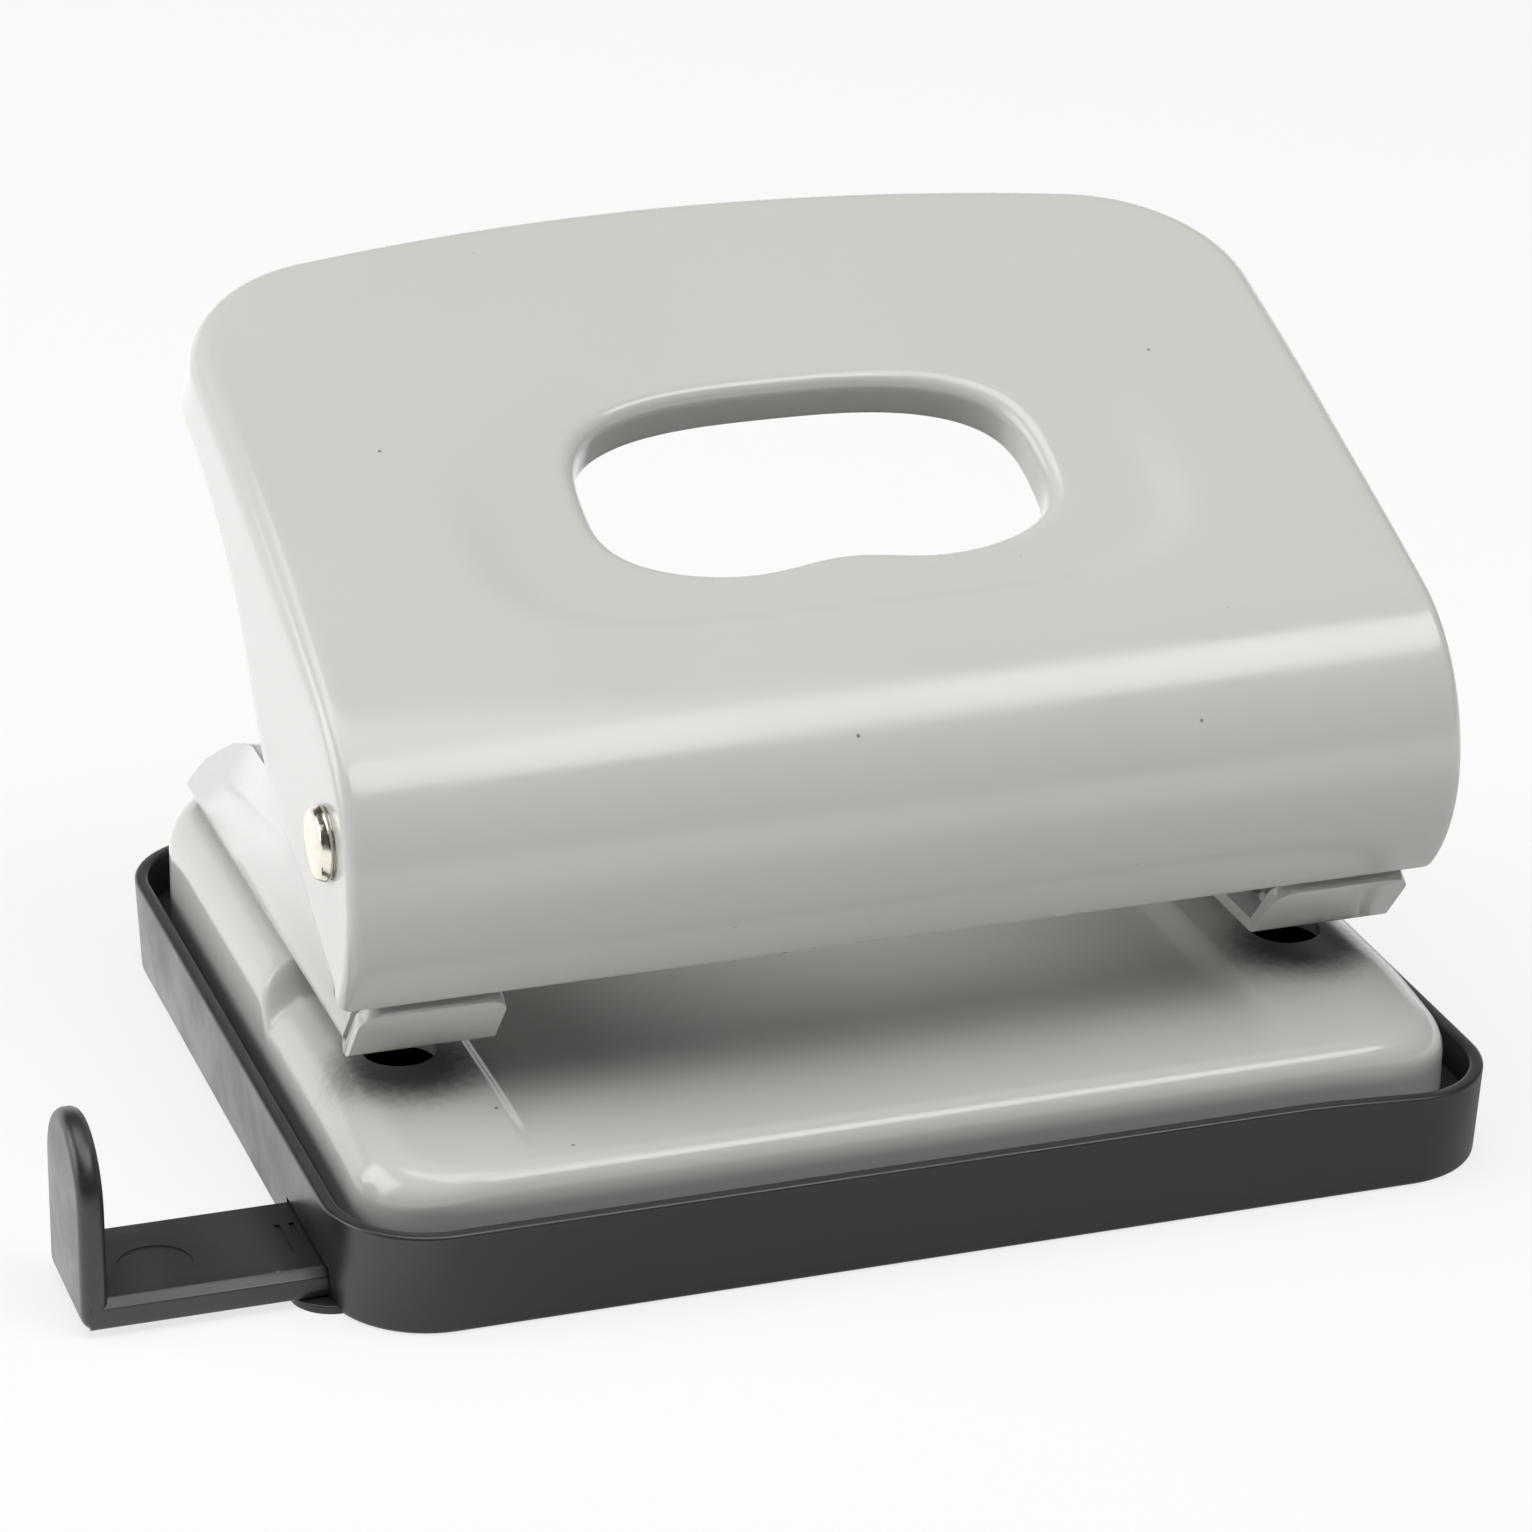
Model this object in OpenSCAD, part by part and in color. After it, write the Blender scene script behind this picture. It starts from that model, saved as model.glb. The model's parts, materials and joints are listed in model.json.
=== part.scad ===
// Manual two-hole desk punch: pressed-steel lever and base plate on a moulded chip tray.
// Millimetres. Origin: middle of the tray's underside. +Z up, +X along the row of holes,
// -Y towards the side where the paper goes in.

/* [Punching] */
// Distance between the centres of the two punched holes
hole_spacing = 80; // [78:0.5:90]
// Diameter of a punch pin, which is the diameter of the hole it makes
pin_d = 6; // [5:0.1:6.4]
// How far a pin travels down
pin_travel = 5.3; // [5:0.1:5.5]
// Distance from the paper stop to the hole centres
hole_margin = 12; // [11.5:0.1:12.5]
// Height of the paper throat between the base plate and the lower guide plates
throat_gap = 3.2; // [2.8:0.1:3.6]
// Place of the paper stop behind the middle of the tray
stop_y = -4.5; // [-5.5:0.1:-3.5]

/* [Chip tray] */
// Distance from a hole centre to the end of the tray's rim
end_margin = 11; // [11:0.25:14]
// Depth of the tray at its rim
tray_w = 82; // [81.5:0.25:88]
// Height of the tray
tray_h = 9; // [8:0.25:9.5]
// Wall of the tray at the rim
tray_wall = 1.2; // [1:0.1:1.4]
// Floor of the tray
tray_floor = 0.7; // [0.6:0.05:0.8]
// Corner radius of the rim, seen from above
tray_corner_r = 9; // [8.5:0.25:12]
// How far the wall leans in towards the floor
tray_draft = 0.4; // [0.2:0.1:0.6]
// Height of the inner ledge that carries the base plate
ledge_h = 5; // [4.8:0.1:5.4]
// Width of that ledge
ledge_w = 2.6; // [2.5:0.1:2.9]

/* [Paper guide] */
// Width of the guide bar
guide_w = 12.5; // [11:0.25:13.5]
// Thickness of the guide bar
guide_t = 2.4; // [2:0.1:2.6]
// Length of the guide bar
guide_l = 110; // [104:0.5:114]
// Distance of the guide bar's middle from the tray's front
guide_in = 14.4; // [13.5:0.1:16]
// Distance from the left hole to the fence at rest, the mark for four-hole paper
guide_set = 28.5; // [26:0.5:40]
// Thickness of the fence
fence_t = 2.2; // [1.8:0.1:3]
// Height of the fence above the table
fence_h = 17.1; // [15:0.1:20]
// Diameter of the thumb rest sunk in the bar
thumb_d = 6.2; // [5:0.1:8]
// Distance from the fence to the middle of the thumb rest
thumb_x = 4.9; // [4.5:0.1:7]
// Distance from the fence to the first setting mark
mark_x = 15.6; // [12:0.1:17]

/* [Base plate] */
// Sheet of the base plate
base_t = 1.2; // [1:0.05:1.3]
// Gap between the skirt of the base plate and the rim of the tray
base_gap = 1.6; // [1.4:0.1:1.7]
// Height of the front deck above the table
deck_h = 12.4; // [12:0.1:12.8]
// How far the pads under the pins stand above the front deck
pad_rise = 1.2; // [0.8:0.1:1.4]
// Corner radius of the base plate, seen from above
base_corner_r = 8; // [7:0.25:8.5]
// Radius of the shoulder between deck and skirt, at the front and the rear
shoulder_r = 2; // [1.8:0.1:2.2]
// Radius of that shoulder at the two ends, where it is fuller
end_shoulder_r = 4.5; // [4:0.1:4.8]
// Width of a pressed step, seen from above
step_w = 2.4; // [2.2:0.1:2.6]

/* [Brackets] */
// Sheet of a bracket
bracket_t = 1.2; // [1:0.05:1.3]
// Distance from the hole centre to the outside of a bracket
bracket_out = 6.2; // [6.1:0.1:6.4]
// Distance from the hole centre to the inner edge of a bracket
bracket_in = 6.2; // [6:0.1:6.4]
// Distance from the rear end of a bracket to the rear edge of the base plate
bracket_back = 6.4; // [6:0.1:7]
// Height of the upper guide plate above the lower one
guide_gap = 13; // [12.8:0.1:13.2]
// Inside radius of a fold
fold_r = 0.5; // [0.3:0.1:0.8]
// Angle of the front lip above the table
lip_angle = 50; // [47:1:53]
// Length of the front lip from its fold
lip_l = 7.5; // [6.5:0.1:7.6]
// Distance from the hole centre forward to the fold of the lip
lip_y = 6.7; // [6.5:0.1:6.8]
// Radius of the ear round the pivot
ear_r = 4.6; // [4.2:0.1:4.7]

/* [Lever] */
// Sheet of the lever
lever_t = 1; // [0.8:0.05:1.05]
// Distance from the pivot back to the press bar's nose
nose_arm = 9.2; // [9:0.05:9.4]
// Distance from the pivot back to the hole centres
lever_arm = 9; // [8.8:0.05:9.1]
// Height of the pivot above the upper guide plate
pivot_h = 5.05; // [4.9:0.05:5.3]
// Outside radius of the rolled front of the lever
roll_r = 15.4; // [15.2:0.05:15.6]
// Radius of the slight crown of the lever's top
crown_r = 417; // [350:1:600]
// Length of the top from the roll to the rear edge
top_l = 60.3; // [58:0.1:62]
// Radius of the rear edge, seen from above
rear_r = 180; // [150:5:400]
// Outside radius of the rear corners, seen from above
lever_corner_r = 15.4; // [14:0.1:17]
// Outside radius of the fold between the top and its sides
lever_fold_r = 1.8; // [1.5:0.1:2.2]
// Height of the turned-down rim round the rear
rim_h = 7; // [5:0.1:8]
// How far that rim flares out at its lower edge
rim_flare = 0.8; // [0:0.1:1.2]
// Half width of the finger hole
finger_a = 20.1; // [16:0.1:20.4]
// Distance from the middle of the finger hole to its rear edge
finger_rear = 12.2; // [10:0.1:12.6]
// Distance from the middle of the finger hole to its front edge
finger_front = 10.1; // [9:0.1:11]
// Distance from the end of the roll to the middle of the finger hole
finger_s = 20; // [19:0.25:22]
// Depth of the turned-in rim of the finger hole
finger_rim = 4; // [3:0.1:5]
// Depth of the shallow recess in front of the finger hole
recess_d = 0.6; // [0.3:0.05:0.7]

/* [Small parts] */
// Shank of a pivot rivet
pivot_d = 4; // [3.6:0.1:4.4]
// Head of a pivot rivet
pivot_head_d = 6.3; // [6:0.1:6.8]
// Thickness of the washer between lever and bracket
pivot_washer_t = 0.9; // [0.8:0.05:1.1]
// Wire of a return spring
wire_d = 0.9; // [0.8:0.05:0.95]
// Turns of a return spring
spring_turns = 5; // [4:0.5:5]
// Thickness of the retaining clip on a pin
clip_t = 0.8; // [0.6:0.05:0.9]
// Thickness of the washer under the clip
cup_t = 0.8; // [0.6:0.05:0.9]
// Outside diameter of the clip and of the washer
clip_d = 9; // [8.8:0.05:9.2]
// Shank of a rivet that holds a bracket down
foot_rivet_d = 3.2; // [2.8:0.1:3.6]

/* [Clearances] */
// Running clearance round a pin or shank, on the radius
run_c = 0.05; // [0.03:0.01:0.08]
// Space between faces that rest on each other
seat_c = 0.05; // [0.02:0.01:0.08]
// Space between the press bar and the top of a pin
nose_c = 0.2; // [0.15:0.05:0.3]
// Space round a die hole, on the radius
die_c = 0.1; // [0.08:0.01:0.15]
// Space round the guide bar
slot_c = 0.3; // [0.2:0.05:0.4]

/* [Hidden] */
$fn = 64;

// Colours
paint = "#c9c8c2";
black_plastic = "#2c2c2b";
bright_steel = "#c4c5c6";
nickel = "#d6d2c8";
spring_steel = "#9a9b9c";

// Places that follow from the sizes above
pin_x = hole_spacing / 2;
pin_y = stop_y - hole_margin;
pin_r = pin_d / 2;
pivot_y = pin_y - lever_arm;
pad_z = deck_h + pad_rise;
platform_z = pad_z + throat_gap;
plate_z = platform_z + seat_c;
plate_top = plate_z + bracket_t;
upper_z = plate_top + guide_gap;
upper_top = upper_z + bracket_t;
pivot_z = upper_top + pivot_h;
nose_y = pivot_y + sqrt(nose_arm * nose_arm - pin_travel * pin_travel / 4);
nose_z = pivot_z + pin_travel / 2;
nose_r = 2;
pin_top = nose_z - nose_r - nose_c;
pin_bottom = plate_z + 0.4;
clip_z = upper_z - 0.1 - clip_t;
cup_z = clip_z - cup_t - 0.02;
spring_z0 = plate_top + 0.03;
spring_z1 = cup_z - 0.03;
bracket_x1 = pin_x + bracket_out;
bracket_x0 = pin_x - bracket_in;
washer_x = bracket_x1 + seat_c;
flange_x = washer_x + pivot_washer_t + seat_c;
lever_half = flange_x + lever_t;

// ------------------------------------------------------------------ helpers
function smooth(t) = let (c = min(1, max(0, t))) c * c * (3 - 2 * c);
function mix(a, b, t) = a + (b - a) * t;
function steps(a, b, n) = [for (i = [0 : n]) mix(a, b, i / n)];
function sgn(v) = v < 0 ? -1 : 1;

// Sorted copy of a list, values closer than 0.05 are one value
function sorted(v) = len(v) < 2 ? v : let (p = v[floor(len(v) / 2)])
    concat(sorted([for (e = v) if (e < p - 0.05) e]), [p], sorted([for (e = v) if (e > p + 0.05) e]));

// Triangles between two rows of point numbers, round a closed loop or along an open row
function band(a, b, loop) = [
    for (i = [0 : len(a) - (loop ? 1 : 2)])
        let (j = (i + 1) % len(a))
        each [[a[i], a[j], b[j]], [a[i], b[j], b[i]]]
];
function row(start, n) = [for (i = [0 : n - 1]) start + i];

// Points round a rectangle with round corners
function round_rect(hx, hy, r, n) = [
    for (c = [[1, 1, 0], [-1, 1, 90], [-1, -1, 180], [1, -1, 270]])
        for (a = steps(c[2], c[2] + 90, n))
            [c[0] * (hx - r) + r * cos(a), c[1] * (hy - r) + r * sin(a)]
];

// The same rectangle with true arcs
module round_plan(hx, hy, r) {
    square([2 * hx, 2 * (hy - r)], center = true);
    square([2 * (hx - r), 2 * hy], center = true);
    for (sx = [-1, 1], sy = [-1, 1])
        translate([sx * (hx - r), sy * (hy - r)]) circle(r);
}

// A shape drawn in the Y-Z plane made solid from x = a to x = b
module along_x(a, b) {
    translate([a, 0, 0])
        rotate([90, 0, 90])
            linear_extrude(b - a) children();
}

// A shape drawn in the X-Z plane made solid from y = a to y = b
module along_y(a, b) {
    translate([0, b, 0])
        rotate([90, 0, 0])
            linear_extrude(b - a) children();
}

// The fold of a sheet: part of a ring round c from angle a0 to angle a1
module fold(c, r0, r1, a0, a1) {
    m = (a0 + a1) / 2;
    far = 3 * r1;
    translate(c) intersection() {
        difference() {
            circle(r1);
            circle(r0);
        }
        polygon([[0, 0], far * [cos(a0), sin(a0)], far * [cos(m), sin(m)], far * [cos(a1), sin(a1)]]);
    }
}

// Draws the right-hand piece where it is, or its mirror image on the left
module on_side(side) {
    if (side > 0) children();
    else mirror([1, 0, 0]) children();
}

// ------------------------------------------------------------------ chip tray
tray_hx = pin_x + end_margin;
tray_hy = tray_w / 2;
well_hx = tray_hx - tray_wall;
well_hy = tray_hy - tray_wall;
guide_y = guide_in - tray_hy;
slot_h = guide_t + seat_c + slot_c;
slot_half = guide_w / 2 + slot_c;
rail_t = 1;
bridge_w = 5;
bridge_t = 0.8;
tongue_r = 3.6;

module tray_block() {
    bottom_hx = tray_hx - tray_draft;
    bottom_hy = tray_hy - tray_draft;
    outline = round_rect(bottom_hx, bottom_hy, tray_corner_r - tray_draft, 12);
    linear_extrude(tray_floor) polygon(outline);
    translate([0, 0, tray_floor])
        linear_extrude(tray_h - tray_floor, slices = 1,
                       scale = [tray_hx / bottom_hx, tray_hy / bottom_hy])
            polygon(outline);
}

module chip_tray() {
    well_r = tray_corner_r - tray_wall;
    color(black_plastic) {
        difference() {
            tray_block();
            translate([0, 0, ledge_h])
                linear_extrude(tray_h) round_plan(well_hx, well_hy, well_r);
            translate([0, 0, tray_floor])
                linear_extrude(tray_h)
                    round_plan(well_hx - ledge_w, well_hy - ledge_w, well_r - ledge_w);
            // slot for the guide bar: through the left wall, and under the ledge on the right
            translate([-tray_hx - 1, guide_y - slot_half, tray_floor])
                cube([tray_wall + ledge_w + 2, 2 * slot_half, slot_h]);
            translate([well_hx - ledge_w - 1, guide_y - slot_half, tray_floor])
                cube([ledge_w + 1, 2 * slot_half, slot_h]);
        }
        tray_tongue();
        guide_rails();
    }
}

// Round tongue of the floor that reaches out under the bar
module tray_tongue() {
    intersection() {
        translate([tray_wall - tray_hx, guide_y - guide_w / 2 + tongue_r / 2, 0])
            cylinder(r = tongue_r, h = tray_floor);
        translate([-tray_hx - tongue_r, guide_y - guide_w, 0])
            cube([tongue_r + tray_wall, guide_w, tray_floor]);
    }
}

// Two rails on the floor and two bridges that hold the bar down
module guide_rails() {
    rail_l = 2 * (well_hx - ledge_w);
    for (s = [-1, 1])
        translate([-rail_l / 2, guide_y + s * (slot_half + rail_t / 2) - rail_t / 2, tray_floor])
            cube([rail_l, rail_t, slot_h]);
    for (x = [1.5 - rail_l / 2, 0])
        translate([x, guide_y - slot_half - rail_t, tray_floor + slot_h])
            cube([bridge_w, 2 * (slot_half + rail_t), bridge_t]);
}

// ------------------------------------------------------------------ paper guide
fence_x = -pin_x - guide_set;
guide_z = tray_floor + seat_c;

module paper_guide() {
    r = guide_w / 2;
    bar_top = guide_z + guide_t;
    color(black_plastic) {
        difference() {
            // bar with a bevelled front edge
            along_x(fence_x - fence_t, fence_x - fence_t + guide_l)
                polygon([[guide_y - r, guide_z], [guide_y + r, guide_z], [guide_y + r, bar_top],
                         [guide_y - r + 1.1, bar_top], [guide_y - r, bar_top - 0.7]]);
            // sunk thumb rest
            translate([fence_x + thumb_x, guide_y - 1, bar_top - 0.2]) cylinder(d = thumb_d, h = 1);
            // three plain setting marks
            for (i = [0 : 2])
                translate([fence_x + mark_x + 1.2 * i, guide_y - 2.5 + i, bar_top - 0.2])
                    cube([0.5, 5 - i, 1]);
        }
        // fence with a full round top
        along_x(fence_x - fence_t, fence_x) {
            translate([guide_y - r, guide_z + guide_t / 2])
                square([guide_w, fence_h - r - guide_z - guide_t / 2]);
            translate([guide_y, fence_h - r]) circle(r);
        }
    }
}

// ------------------------------------------------------------------ base plate
// A drawn pan. Its top is a height over (x, y); its edge rolls over a shoulder into a skirt.
base_hx = well_hx - base_gap;
base_hy = well_hy - base_gap;
deck_hx = base_hx - end_shoulder_r;
deck_hy = base_hy - shoulder_r;
deck_r = base_corner_r - shoulder_r;
skirt_z = ledge_h + seat_c;
panel_half = bracket_x0 - step_w - 0.4;
ramp_l = 14;
foot_rivet_x = pin_x + 0.3;
bracket_rear = base_hy - bracket_back;
foot_rivet_y = [stop_y + 12.5, bracket_rear - 6.8];

// 1 on the sides, where the pads and platforms are, 0 in the sunk middle panel
function side_mask(x) = smooth((abs(x) - panel_half) / step_w);
// 1 on a platform that carries a bracket
function platform_mask(x, y) = side_mask(x) * smooth((y - stop_y) / step_w);
function deck_z(x, y) = let (pad = deck_h + pad_rise * side_mask(x) * smooth((y + deck_hy) / ramp_l))
    mix(pad, platform_z, platform_mask(x, y));
// The sheet keeps its thickness on the steps, so its underside lies lower there
function deck_drop(x, y) =
    let (gx = (deck_z(x + 0.2, y) - deck_z(x - 0.2, y)) / 0.4,
         gy = (deck_z(x, y + 0.2) - deck_z(x, y - 0.2)) / 0.4)
    base_t * min(1.7, sqrt(1 + gx * gx + gy * gy));

// Lines of the deck's grid, closer where it steps and in the corners
deck_half = sorted(concat([0, 10, 20, panel_half - 3], steps(panel_half, panel_half + step_w, 4),
    steps(deck_hx - deck_r, deck_hx, 4)));
deck_x = concat([for (i = [len(deck_half) - 1 : -1 : 1]) -deck_half[i]], deck_half);
deck_y = sorted(concat(steps(-deck_hy, deck_r - deck_hy, 4), steps(deck_r - deck_hy, ramp_l - deck_hy, 3),
    [pin_y, pin_y + 7], steps(stop_y, stop_y + step_w, 4),
    steps(stop_y + step_w, deck_hy - deck_r, 3), steps(deck_hy - deck_r, deck_hy, 4)));

// A corner of the grid is drawn in to a quarter disc
function corner_p(v, h) = max(0, (abs(v) - h + deck_r) / deck_r);
function corner_q(p, q) = p * sqrt(1 - q * q / 2);
function deck_xy(x, y) = let (p = corner_p(x, deck_hx), q = corner_p(y, deck_hy))
    [x + sgn(x) * deck_r * (corner_q(p, q) - p), y + sgn(y) * deck_r * (corner_q(q, p) - q)];
function deck_out(x, y) = let (p = corner_p(x, deck_hx), q = corner_p(y, deck_hy),
    n = [sgn(x) * corner_q(p, q), sgn(y) * corner_q(q, p)]) n / norm(n);

module deck_sheet() {
    nx = len(deck_x);
    ny = len(deck_y);
    ng = nx * ny;
    edge = concat([for (i = [0 : nx - 2]) [i, 0]], [for (j = [0 : ny - 2]) [nx - 1, j]],
                  [for (i = [nx - 1 : -1 : 1]) [i, ny - 1]], [for (j = [ny - 1 : -1 : 1]) [0, j]]);
    nb = len(edge);
    arcs = [22.5, 45, 67.5, 90];
    top = [for (y = deck_y) for (x = deck_x) let (p = deck_xy(x, y)) [p[0], p[1], deck_z(p[0], p[1])]];
    under = [for (y = deck_y) for (x = deck_x) let (p = deck_xy(x, y))
        [p[0], p[1], deck_z(p[0], p[1]) - deck_drop(p[0], p[1])]];
    at = [for (e = edge) top[e[0] + nx * e[1]]];
    out = [for (e = edge) deck_out(deck_x[e[0]], deck_y[e[1]])];
    // shoulder and skirt, outside and then inside the sheet
    rim_o = rim_rows(at, out, arcs, 0);
    rim_i = rim_rows(at, out, arcs, base_t);
    nr = len(arcs) + 1;
    in0 = ng + nr * nb;
    loop_o = [for (e = edge) e[0] + nx * e[1]];
    loop_i = [for (e = edge) in0 + e[0] + nx * e[1]];
    ring_o = concat([loop_o], [for (k = [0 : nr - 1]) row(ng + k * nb, nb)]);
    ring_i = concat([loop_i], [for (k = [0 : nr - 1]) row(in0 + ng + k * nb, nb)]);
    polyhedron(
        points = concat(top, rim_o, under, rim_i),
        faces = concat(
            [for (j = [0 : ny - 2]) each band(row((j + 1) * nx, nx), row(j * nx, nx), false)],
            [for (j = [0 : ny - 2]) each band(row(in0 + j * nx, nx), row(in0 + (j + 1) * nx, nx), false)],
            [for (k = [0 : nr - 1]) each band(ring_o[k], ring_o[k + 1], true)],
            [for (k = [0 : nr - 1]) each band(ring_i[k + 1], ring_i[k], true)],
            band(ring_o[nr], ring_i[nr], true)),
        convexity = 8);
}
// The shoulder's radius follows the way it faces: fuller towards the two ends
function shoulder(out) = mix(shoulder_r, end_shoulder_r, out[0] * out[0]);
function rim_rows(at, out, arcs, t) = concat(
    [for (a = arcs) for (i = [0 : len(at) - 1]) let (r = shoulder(out[i]), q = r - t)
        [at[i][0] + q * sin(a) * out[i][0], at[i][1] + q * sin(a) * out[i][1], at[i][2] - r + q * cos(a)]],
    [for (i = [0 : len(at) - 1]) let (q = shoulder(out[i]) - t)
        [at[i][0] + q * out[i][0], at[i][1] + q * out[i][1], skirt_z]]);

module base_plate() {
    color(paint) difference() {
        deck_sheet();
        for (s = [-1, 1]) {
            // die hole
            translate([s * pin_x, pin_y, 0]) cylinder(r = pin_r + die_c, h = 2 * pad_z);
            // rivet holes
            for (y = foot_rivet_y)
                translate([s * foot_rivet_x, y, 0])
                    cylinder(d = foot_rivet_d + 2 * run_c, h = 2 * platform_z);
        }
    }
}

// ------------------------------------------------------------------ brackets
// Side plate with an ear for the pivot, foot, front lip and a folded upper guide plate
guide_front = pin_y - 5.3;
guide_rear = pin_y + 6;
fold_out = fold_r + bracket_t;
lip_root = pin_y - lip_y;
lip_fold_r = 0.6;

module bracket_side() {
    c = [pivot_y, pivot_z];
    lean = 1 / tan(lip_angle);
    slot_y = lip_root + 0.75 / sin(lip_angle) + bracket_t / sin(lip_angle);
    difference() {
        union() {
            polygon([[slot_y, plate_z], [bracket_rear, plate_z], [bracket_rear, plate_top + 0.4],
                     [bracket_rear - 2.6, plate_top + 2.4], [bracket_rear - 7.8, upper_z - 7],
                     [bracket_rear - 18, upper_z - 1.4], [bracket_rear - 21.1, upper_z - 0.2],
                     [bracket_rear - 25, upper_top], [pivot_y + ear_r + 0.8, upper_top],
                     [pivot_y + ear_r, upper_top + 1], [pivot_y + ear_r, pivot_z],
                     [pivot_y - ear_r, pivot_z], [pivot_y - 3.9, upper_z - 1],
                     [pivot_y - 1.6, upper_z - 6], [slot_y - 4.2 * lean, plate_z + 4.2]]);
            translate(c) circle(ear_r);
        }
        // room for the folded guide plate
        translate([guide_front, upper_top - fold_out]) square([guide_rear - guide_front, fold_out + 0.01]);
    }
}

module foot_plan() {
    r = 5;
    x1 = bracket_x1 - fold_out;
    translate([bracket_x0, lip_root + 1.2]) square([x1 - bracket_x0, bracket_rear - r - lip_root - 1.2]);
    translate([bracket_x0 + r, bracket_rear - r - 1]) square([x1 - bracket_x0 - r, r + 1]);
    translate([bracket_x0 + r, bracket_rear - r]) circle(r);
}

// Front lip that leads the paper in, with its fold
module bracket_lip() {
    r1 = lip_fold_r + bracket_t;
    tangent = r1 * tan(lip_angle / 2);
    corner = 2;
    w = bracket_x1 - bracket_x0;
    up = [-cos(lip_angle), sin(lip_angle)];
    through = bracket_t * [sin(lip_angle), cos(lip_angle)];
    root = [lip_root, plate_z];
    intersection() {
        along_x(bracket_x0, bracket_x1) {
            fold([lip_root + tangent, plate_z + r1], lip_fold_r, r1, -90 - lip_angle, -90);
            translate([lip_root + tangent - 0.05, plate_z]) square([1.45 - tangent, bracket_t]);
            polygon([root + (tangent - 0.05) * up, root + lip_l * up, root + lip_l * up + through,
                     root + (tangent - 0.05) * up + through]);
        }
        // round upper corners
        translate([bracket_x0, lip_root, plate_z])
            rotate([180 - lip_angle, 0, 0])
                translate([0, 0, -5])
                    linear_extrude(10) {
                        translate([0, -5]) square([w, lip_l + 5 - corner]);
                        translate([corner, 0]) square([w - 2 * corner, lip_l]);
                        for (x = [corner, w - corner]) translate([x, lip_l - corner]) circle(corner);
                    }
    }
}

module bracket_right() {
    difference() {
        union() {
            // side plate
            along_x(bracket_x1 - bracket_t, bracket_x1)
                intersection() {
                    bracket_side();
                    translate([-100, plate_z + fold_out]) square(200);
                }
            // lower fold
            intersection() {
                along_y(-100, 100)
                    fold([bracket_x1 - fold_out, plate_z + fold_out], fold_r, fold_out, -90, 0);
                along_x(bracket_x0, bracket_x1 + 1) bracket_side();
            }
            // foot
            translate([0, 0, plate_z]) linear_extrude(bracket_t) foot_plan();
            // upper guide plate with its fold
            along_y(guide_front, guide_rear) {
                fold([bracket_x1 - fold_out, upper_top - fold_out], fold_r, fold_out, 0, 90);
                translate([bracket_x0 + 0.6, upper_z])
                    square([bracket_x1 - fold_out - bracket_x0 - 0.6, bracket_t]);
            }
            bracket_lip();
        }
        translate([pin_x, pin_y, plate_z - 1]) cylinder(r = pin_r + run_c, h = 40);
        translate([bracket_x0, pivot_y, pivot_z])
            rotate([0, 90, 0]) cylinder(d = pivot_d + 2 * run_c, h = 40);
        for (y = foot_rivet_y)
            translate([foot_rivet_x, y, plate_z - 1]) cylinder(d = foot_rivet_d + 2 * run_c, h = 4);
    }
}

module left_bracket() color(paint) on_side(-1) bracket_right();
module right_bracket() color(paint) on_side(1) bracket_right();

// Rivets that hold a bracket on its platform: snap head above, flat head under the sheet
module foot_rivets() {
    head_r = foot_rivet_d / 2 + 1;
    for (y = foot_rivet_y)
        translate([foot_rivet_x, y, 0])
            rotate_extrude()
                polygon([[0, platform_z - base_t - seat_c - 0.9], [head_r, platform_z - base_t - seat_c - 0.9],
                         [head_r, platform_z - base_t - seat_c], [foot_rivet_d / 2, platform_z - base_t - seat_c],
                         [foot_rivet_d / 2, plate_top + seat_c], [head_r, plate_top + seat_c],
                         [head_r - 0.2, plate_top + seat_c + 0.6], [head_r - 0.9, plate_top + seat_c + 1.1],
                         [0, plate_top + seat_c + 1.25]]);
}
module left_foot_rivets() color(bright_steel) on_side(-1) foot_rivets();
module right_foot_rivets() color(bright_steel) on_side(1) foot_rivets();

// ------------------------------------------------------------------ pins and springs
module punch_pin() {
    groove_r = pin_r - 0.5;
    translate([pin_x, pin_y, 0]) difference() {
        rotate_extrude()
            polygon([[0, pin_bottom], [pin_r, pin_bottom], [pin_r, clip_z - 0.03],
                     [groove_r, clip_z - 0.03], [groove_r, clip_z + clip_t + 0.03],
                     [pin_r, clip_z + clip_t + 0.03], [pin_r, pin_top - 0.5],
                     [pin_r - 0.5, pin_top], [0, pin_top]]);
        // the notch that leaves two cutting points
        along_x(-pin_d, pin_d)
            polygon([[-pin_r - 0.1, pin_bottom - 0.2], [pin_r + 0.1, pin_bottom - 0.2], [0, pin_bottom + 1.3]]);
    }
}

module pin_clip() {
    translate([pin_x, pin_y, clip_z]) difference() {
        cylinder(d = clip_d, h = clip_t);
        translate([0, 0, -1]) cylinder(r = pin_r - 0.5 + run_c, h = clip_t + 2);
        translate([-(pin_r - 0.6), 0, -1]) cube([pin_d - 1.2, clip_d, clip_t + 2]);
    }
}

module spring_washer() {
    translate([pin_x, pin_y, cup_z]) difference() {
        cylinder(d = clip_d, h = cup_t);
        translate([0, 0, -1]) cylinder(r = pin_r + run_c, h = cup_t + 2);
    }
}

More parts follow.
